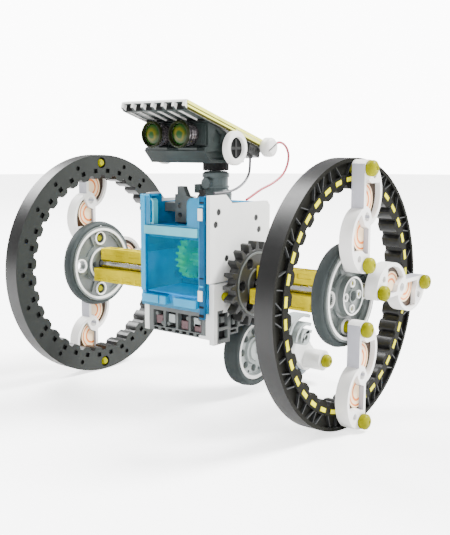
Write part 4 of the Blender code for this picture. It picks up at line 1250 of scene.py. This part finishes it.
def tail_arm_mesh():
    start, end = Vector(TAIL_START), Vector(TAIL_END)
    holes = [circle(start.lerp(end, part), 1.7, 18) for part in (0.08, 0.36, 0.62)]
    bore = circle(TAIL_END, PEG_BORE, 24)
    arm = slab(capsule(TAIL_START, TAIL_END, 4.6, 6.4), holes + [bore], TAIL_ARM_X)
    boss = slab(circle(TAIL_END, TAIL_BOSS_RADIUS, 40), [bore], (TAIL_ARM_X[1] - 0.2, TAIL_BOSS_END))
    return gathered([arm, boss])


def tail_fin_mesh():
    """Curved fins standing on the arm, like half-rings one behind the other."""
    ends = (TAIL_ARM_X[1] - 0.4, TAIL_ARM_X[1] + 6.6)
    parts = []
    for centre, radius in (((35.4, 23.6), 12.6), ((38.0, 22.2), 9.4), ((40.2, 21.4), 6.2)):
        outline = arc(centre, radius, 172, 62, 14) + arc(centre, radius - 1.5, 62, 172, 14)
        parts.append(slab(outline, [], ends))
    hub = slab(circle((37.4, 24.6), 4.0, 28), [circle((37.4, 24.6), 1.7, 18)], ends)
    return gathered(parts + [hub])


def tail_foot_mesh():
    """A rounded foot with a groove round it and six slots in its outer face."""
    low, high = 6.0, TAIL_ARM_X[0] - GAP
    outer = TAIL_FOOT_RADIUS
    profile = [(low, PEG_BORE), (low, outer - 3.0), (low + 1.2, outer - 1.2), (low + 3.2, outer)]
    profile += [(high - 6.2, outer), (high - 6.0, outer - 0.9), (high - 5.2, outer - 0.9)]
    profile += [(high - 5.0, outer), (high - 3.2, outer), (high - 1.2, outer - 1.2)]
    profile += [(high, outer - 3.0), (high, outer - 4.4), (high - 1.0, outer - 4.8)]
    profile += [(high - 1.0, 4.4), (high, 4.0), (high, PEG_BORE)]
    body = lathe(profile, TAIL_END, 56)
    outlines = [sector((4.9, 8.9), 60 * i, 12, centre=TAIL_END) for i in range(6)]
    return cut(body, [slab(outline, [], (high - 2.2, high + 1)) for outline in outlines])


def add_tail():
    peg = moved(peg_mesh(7.0, TAIL_BOSS_END + GAP), Matrix.Translation((0, *TAIL_END)))
    parts = (
        ("tail_arm_shaped", tail_arm_mesh(), "white", "tail_arm", "white_plastic", 0.3),
        ("tail_fins", tail_fin_mesh(), "light_grey", "", "grey_plastic", 0.2),
        ("tail_foot_shaped", tail_foot_mesh(), "blue_grey", "tail_foot", "grey_plastic", 0.2),
        ("tail_peg_shaped", peg, "olive", "tail_peg", "yellow_plastic", 0.0),
    )
    add_parts("chassis", parts)


# ---- head
def eye_part(profile, x, sides):
    """Turns a profile of (distance to the front, radius) about an eye's axis."""
    return lathe(profile, (x, EYE_Z), sides, "Y")


def eye_barrel_mesh(x):
    """A stepped barrel: stem in the face plate, ribbed body and a thick front ring."""
    outer = EYE_RADIUS
    profile = [(18.0, 0.0), (18.0, EYE_STEM), (22.0, EYE_STEM), (22.0, outer - 1.0)]
    for step in (23.4, 24.8, 26.2):
        profile += [(step, outer - 0.9), (step + 0.1, outer - 1.3), (step + 0.5, outer - 1.3)]
        profile += [(step + 0.6, outer - 0.7)]
    profile += [(28.2, outer - 0.5), (28.4, outer), (28.8, outer), (28.8, outer - 1.0)]
    return eye_part(profile + [(26.4, outer - 1.05), (26.4, 0.0)], x, 56)


def eye_ring_mesh(x):
    """The olive front ring of an eye."""
    outer = EYE_RADIUS
    profile = [(28.6, outer - 1.0), (28.6, outer), (29.7, outer), (30.2, outer - 0.4)]
    return eye_part(profile + [(30.2, outer - 0.6), (29.4, outer - 0.9)], x, 56)


def eye_lens_mesh(x):
    """A domed lens set back inside the front ring."""
    radius = EYE_RADIUS - 0.95
    turns = [math.radians(90 * i / 7) for i in range(8)]
    dome = [(28.2 + 1.3 * math.sin(turn), radius * math.cos(turn)) for turn in turns]
    return eye_part([(26.6, 0.0), (26.6, radius)] + dome, x, 48)


def head_mesh():
    """Angular head: brow, sloping face plate with eye sockets, jutting chin and folded cheeks."""
    brow = panel_place(16.9, PANEL_THICK + GAP)
    crown = panel_place(29.0, PANEL_THICK + GAP)
    outline = [brow, (-21.6, 114.4), (-23.6, 113.6), (-24.2, 112.4), (-19.6, 107.3)]
    outline += [(3.0, 107.3), (3.0, 110.4), crown]
    body = slab(outline, [], (HEAD_X - HEAD_HALF, HEAD_X + HEAD_HALF))
    cutters = [rod((x, EYE_Z), EYE_STEM + GAP, (-24.0, -17.0), 28, "Y") for x in EYES.values()]
    side = HEAD_X + HEAD_HALF
    for x in ((side - 0.8, side + 1.0), (2 * HEAD_X - side - 1.0, 2 * HEAD_X - side + 0.8)):
        cutters.append(slab([(-19.0, 116.4), (-16.4, 121.6), (-12.6, 119.0), (-13.6, 115.4)], [], x))
        cutters.append(slab([(-22.2, 112.2), (-19.0, 108.8), (0.6, 108.8), (-6.0, 112.2)], [], x))
    return cut(body, cutters)


def head_fold_mesh():
    """Raised folds on the head: cheek blocks beside the eyes and creases across the chin."""
    parts = []
    for x in (HEAD_X - HEAD_HALF + 0.6, HEAD_X - 1.1, HEAD_X + HEAD_HALF - 2.8):
        parts.append(slab([(-21.2, 114.8), (-22.6, 114.8), (-22.2, 123.4), (-20.8, 123.4)], [], (x, x + 2.2)))
    for low, high in ((-11.6, -1.6), (4.4, 15.0)):
        crease = [(-23.9, 112.6), (-21.9, 113.6), (-21.9, 115.0), (-24.2, 113.8)]
        parts.append(slab(crease, [], (low, high)))
    return gathered(parts)


def ear_mesh():
    """A drum with a broad rim round a sunk dark centre; drawn at +X with the head's middle at 0."""
    low = PANEL_HALF + GAP
    outer = EAR_RADIUS
    profile = [(low, 0.0), (low, outer - 0.9), (low + 0.9, outer), (low + 2.5, outer)]
    profile += [(low + 3.2, outer - 0.4), (low + 3.4, outer - 1.0), (low + 3.4, 4.9), (low + 3.0, 4.6)]
    return lathe(profile + [(low + 1.7, 4.5), (low + 1.7, 0.0)], EAR_CENTRE, 56)


def ear_centre_mesh():
    """The dark disc in an ear, with a raised cross."""
    low = PANEL_HALF + GAP + 1.5
    y, z = EAR_CENTRE
    disc = rod(EAR_CENTRE, 4.45, (low, low + 0.6), 40)
    upright = ((low, low + 1.0), (y - 0.6, y + 0.6), (z - 3.8, z + 3.8), 1)
    level = ((low, low + 0.95), (y - 3.4, y + 3.4), (z - 0.6, z + 0.6), 1)
    return gathered([disc] + blocks((upright, level)))


def panel_place(along, down):
    """YZ place on the solar panel: along its slope from the front edge, and down into it."""
    cosine, sine = math.cos(PANEL_SLOPE), math.sin(PANEL_SLOPE)
    front_y, front_z = PANEL_FRONT
    return (front_y + along * cosine - down * sine, front_z - along * sine - down * cosine)


def panel_block(along, down, x):
    corners = [(along[0], down[0]), (along[1], down[0]), (along[1], down[1]), (along[0], down[1])]
    return slab([panel_place(*corner) for corner in corners], [], x)


def panel_mesh():
    """The panel's tray, with slots between ribs under its front lip."""
    low, high = HEAD_X - PANEL_HALF, HEAD_X + PANEL_HALF
    outline = [(0.6, 0.0), (PANEL_LENGTH, 0.0), (PANEL_LENGTH, PANEL_THICK)]
    outline += [(2.4, PANEL_THICK), (0.0, PANEL_THICK - 1.0), (0.0, 0.6)]
    body = slab([panel_place(*point) for point in outline], [], (low, high))
    border = CELL_BORDER
    tray = panel_block((border, PANEL_LENGTH - border), (-2.0, CELL_DEPTH), (low + border, high - border))
    slots = [panel_block((-2.0, 1.9), (1.3, 6.0), x) for x in even_spans(6, low + 0.8, high - 0.8, 0.76)]
    bays = [panel_block((3.0, 15.6), (3.2, 6.0), x) for x in even_spans(6, low + 0.8, high - 0.8, 0.8)]
    body = cut(body, [tray] + slots + bays)
    underneath = Vector((0.0, -math.sin(PANEL_SLOPE), -math.cos(PANEL_SLOPE)))
    forward = Vector((0.0, -math.cos(PANEL_SLOPE), math.sin(PANEL_SLOPE)))

    def set_back(centre, normal):
        return normal.dot(forward) > 0.9 and (Vector((0, *PANEL_FRONT)) - centre).dot(forward) > 1.0

    # Faces that look forward from behind the front edge, the back walls of the slots and bays, are painted
    # dark: painted shade.
    return paint_where(paint_facing(body, underneath, 1), 2, set_back)


def panel_edge_mesh():
    """Pale yellow side strips with a double groove, on both long sides of the panel."""
    parts = []
    for side in (-1, 1):
        face = HEAD_X + side * PANEL_HALF
        for down, along, number in (
            ((0.15, 1.5), (0.9, PANEL_LENGTH - 0.2), 0),
            ((1.5, 2.0), (1.2, PANEL_LENGTH * 0.62), 1),
            ((2.0, 2.8), (1.2, PANEL_LENGTH - 0.2), 0),
            ((2.8, 3.9), (1.6, PANEL_LENGTH - 0.2), 1),
        ):
            # Number 1 strips sit lower and are painted dark olive: painted shade in the grooves.
            raise_by = 0.24 if number == 0 else 0.12
            parts.append(paint(panel_block(along, down, (face - side * 0.2, face + side * raise_by)), number))
    return gathered(parts)


def cell_mesh():
    border = CELL_BORDER + GAP
    low, high = HEAD_X - PANEL_HALF + border, HEAD_X + PANEL_HALF - border
    return panel_block((border, PANEL_LENGTH - border), (0.25, CELL_DEPTH - GAP), (low, high))


def cell_line_mesh():
    """Silver collecting lines: two broad ones along the cell and fine ones across it."""
    border = CELL_BORDER + GAP + 0.5
    low, high = HEAD_X - PANEL_HALF + border, HEAD_X + PANEL_HALF - border
    depth = (0.19, 0.35)
    parts = []
    for part in (0.25, 0.75):
        x = low + (high - low) * part
        parts.append(panel_block((border, PANEL_LENGTH - border), depth, (x - 0.35, x + 0.35)))
    for i in range(13):
        along = border + (PANEL_LENGTH - 2 * border) * (i + 0.5) / 13
        parts.append(panel_block((along - 0.1, along + 0.1), depth, (low, high)))
    return gathered(parts)


def knob_mesh():
    """A domed knob with a slot across its face."""
    side = HEAD_X + PANEL_HALF + GAP
    profile = [(side, 0.0), (side, 3.6), (side + 1.0, 4.3), (side + 3.4, 4.3)]
    for turn in (30, 60, 90):
        part = math.radians(turn)
        profile.append((side + 3.4 + 1.5 * math.sin(part), 2.6 + 1.7 * math.cos(part)))
    body = lathe(profile + [(side + 4.9, 0.0)], KNOB_CENTRE, 44)
    y, z = KNOB_CENTRE
    slot = box((side + 3.9, side + 6.0), (-3.4, 3.4), (-0.55, 0.55))
    turned = Matrix.Translation((0, y, z)) @ Matrix.Rotation(KNOB_TURN, 4, "X")
    body = paint(boolean(body, [moved(slot, turned)]), 0)
    # A dark sheet on the slot's floor: painted shade in the slot.
    floor = paint(box((side + 3.7, side + 4.1), (-3.0, 3.0), (-0.5, 0.5)), 1)
    return gathered([body, moved(floor, turned)])


def clip_mesh():
    """The plug under the panel that the dark wire leaves: a block with a stepped boot."""
    under = PANEL_THICK
    body = panel_block((46.0, 54.8), (under + GAP, under + 4.4), (14.5, 19.8))
    boot = panel_block((46.8, 51.4), (under + 3.2, under + 5.7), (15.2, 18.7))
    spans = even_spans(4, 46.6, 54.2, 0.5)
    ribs = [panel_block(along, (under + 1.2, under + 3.0), (14.4, 20.0)) for along in spans]
    return gathered([body, boot] + ribs)


def neck_detail_mesh():
    """Rings and a side lug on the neck."""
    centre = (HEAD_X, NECK_Y)
    parts = [ring_band(centre, (5.4, radius), ends, 44, "Z") for radius, ends in NECK_BANDS]
    parts.append(ring_band((HEAD_X, 98.0), (1.2, 2.9), (NECK_Y - 8.0, NECK_Y - 6.0), 28, "Y"))
    parts.append(box((HEAD_X - 6.9, HEAD_X - 3.4), (NECK_Y - 7.0, NECK_Y - 2.0), (93.4, 97.4)))
    return gathered(parts)


def add_head():
    add_piece("head_shell_shaped", head_mesh(), "head", "slate", "head_shell", "slate_plastic", 0.35)
    add_piece("head_folds", head_fold_mesh(), "head", "slate", "", "slate_plastic", 0.3)
    for hand, x in EYES.items():
        name, barrel = f"eye_{hand}", eye_barrel_mesh(x)
        add_piece(f"{name}_barrel", barrel, "head", "chrome", name, "dark_plastic")
        add_piece(f"{name}_ring", eye_ring_mesh(x), "head", "eye_olive", bevel=0.1)
        add_piece(f"{name}_lens", eye_lens_mesh(x), "head", f"lens_{hand}")
    add_piece("neck_details", neck_detail_mesh(), "chassis", "neck_grey", "", "grey_plastic", 0.2)
    ear, centre = ear_mesh(), ear_centre_mesh()
    for side, hand in SIDES:
        place = Matrix.Translation((HEAD_X, 0, 0)) @ mirrored(side)
        name = f"ear_{hand}"
        add_piece(f"{name}_shaped", moved(ear, place), "panel", "warm_white", name, "white_plastic")
        add_piece(f"{name}_centre", moved(centre, place), "panel", "dark charcoal", bevel=0.1)


def add_panel():
    frame_looks = "warm_white slate dark"
    parts = (
        ("panel_frame_shaped", panel_mesh(), frame_looks, "panel_frame", "white_plastic", 0.15),
        ("panel_edges", panel_edge_mesh(), "pale_yellow groove", "", None, 0.08),
        ("solar_cell_shaped", cell_mesh(), "cell", "solar_cell", "solar_blue", 0.1),
        ("solar_cell_lines", cell_line_mesh(), "silver"),
        ("panel_knob_shaped", knob_mesh(), "warm_white charcoal", "panel_knob", "white_plastic", 0.2),
        ("panel_clip_shaped", clip_mesh(), "charcoal", "panel_clip", "dark_plastic", 0.3),
    )
    add_parts("panel", parts)


# ---- studio
def add_lamp(name, kind, towards, power, place=(0.0, 0.0, 0.0)):
    """A lamp that shines in a direction."""
    lamp = bpy.data.lights.new(name, kind)
    lamp.energy = power
    holder = bpy.data.objects.new(name, lamp)
    holder.location = place
    holder.rotation_euler = towards.to_track_quat("-Z", "Y").to_euler()
    bpy.context.scene.collection.objects.link(holder)
    return lamp


def add_softbox(name, place, size, power):
    lamp = add_lamp(name, "AREA", Vector(LAMP_TARGET) - Vector(place), power, place)
    lamp.shape = "RECTANGLE"
    lamp.size, lamp.size_y = size


def add_studio():
    disc = slab(circle((0.0, 0.0), FLOOR_RADIUS, ROUND), [], (-0.02, -0.0002), "Z")
    floor = bpy.data.objects.new("studio_floor", disc)
    floor.data.materials.append(MATERIALS["floor"])
    bpy.context.scene.collection.objects.link(floor)
    add_sky()
    add_lamp("key", "SUN", -Vector(SUN_SIDE), SUN_POWER).angle = SUN_SOFTNESS
    add_softbox("softbox", (-0.75, 0.02, 0.85), (0.5, 0.8), 30.0)
    add_softbox("front", (0.6, -0.75, 0.5), (0.4, 0.4), 6.0)


def add_sky():
    """Even light all round, with a brighter backdrop where the camera sees it directly."""
    world = bpy.data.worlds.new("studio")
    world.use_nodes = True
    tree = world.node_tree
    light = tree.nodes["Background"]
    set_inputs(light, {"Color": (1.0, 1.0, 1.0, 1.0), "Strength": SKY_LIGHT})
    backdrop = tree.nodes.new("ShaderNodeBackground")
    backdrop.inputs["Strength"].default_value = SKY_BACKDROP
    mix = tree.nodes.new("ShaderNodeMixShader")
    tree.links.new(camera_only(tree), mix.inputs["Fac"])
    tree.links.new(light.outputs["Background"], mix.inputs[1])
    tree.links.new(backdrop.outputs["Background"], mix.inputs[2])
    tree.links.new(mix.outputs["Shader"], tree.nodes["World Output"].inputs["Surface"])
    bpy.context.scene.world = world


BODY_FINISHES = {
    "housing_flange": "deep_blue",
    "side_plate_right": "white",
    "top_bridge": "mid_grey",
    "wheel_hanger": "light_grey",
    "motor": "steel",
    "axle": "steel",
    "axle_gear": "bright_blue",
    "idler_gear": "inner_yellow",
    "motor_pinion": "white",
    "outer_gear": "charcoal",
    "neck": "neck_grey",
    "neck_collar": "dark",
}

# ---- build
make_camera()
MATERIALS = make_materials()
add_wire("wire_red", RED_ROUTE, 30, "red")
add_wire("wire_black", BLACK_ROUTE, 24, "black")
add_wheels()
add_housing()
add_drive()
add_tail()
add_head()
add_panel()
add_studio()
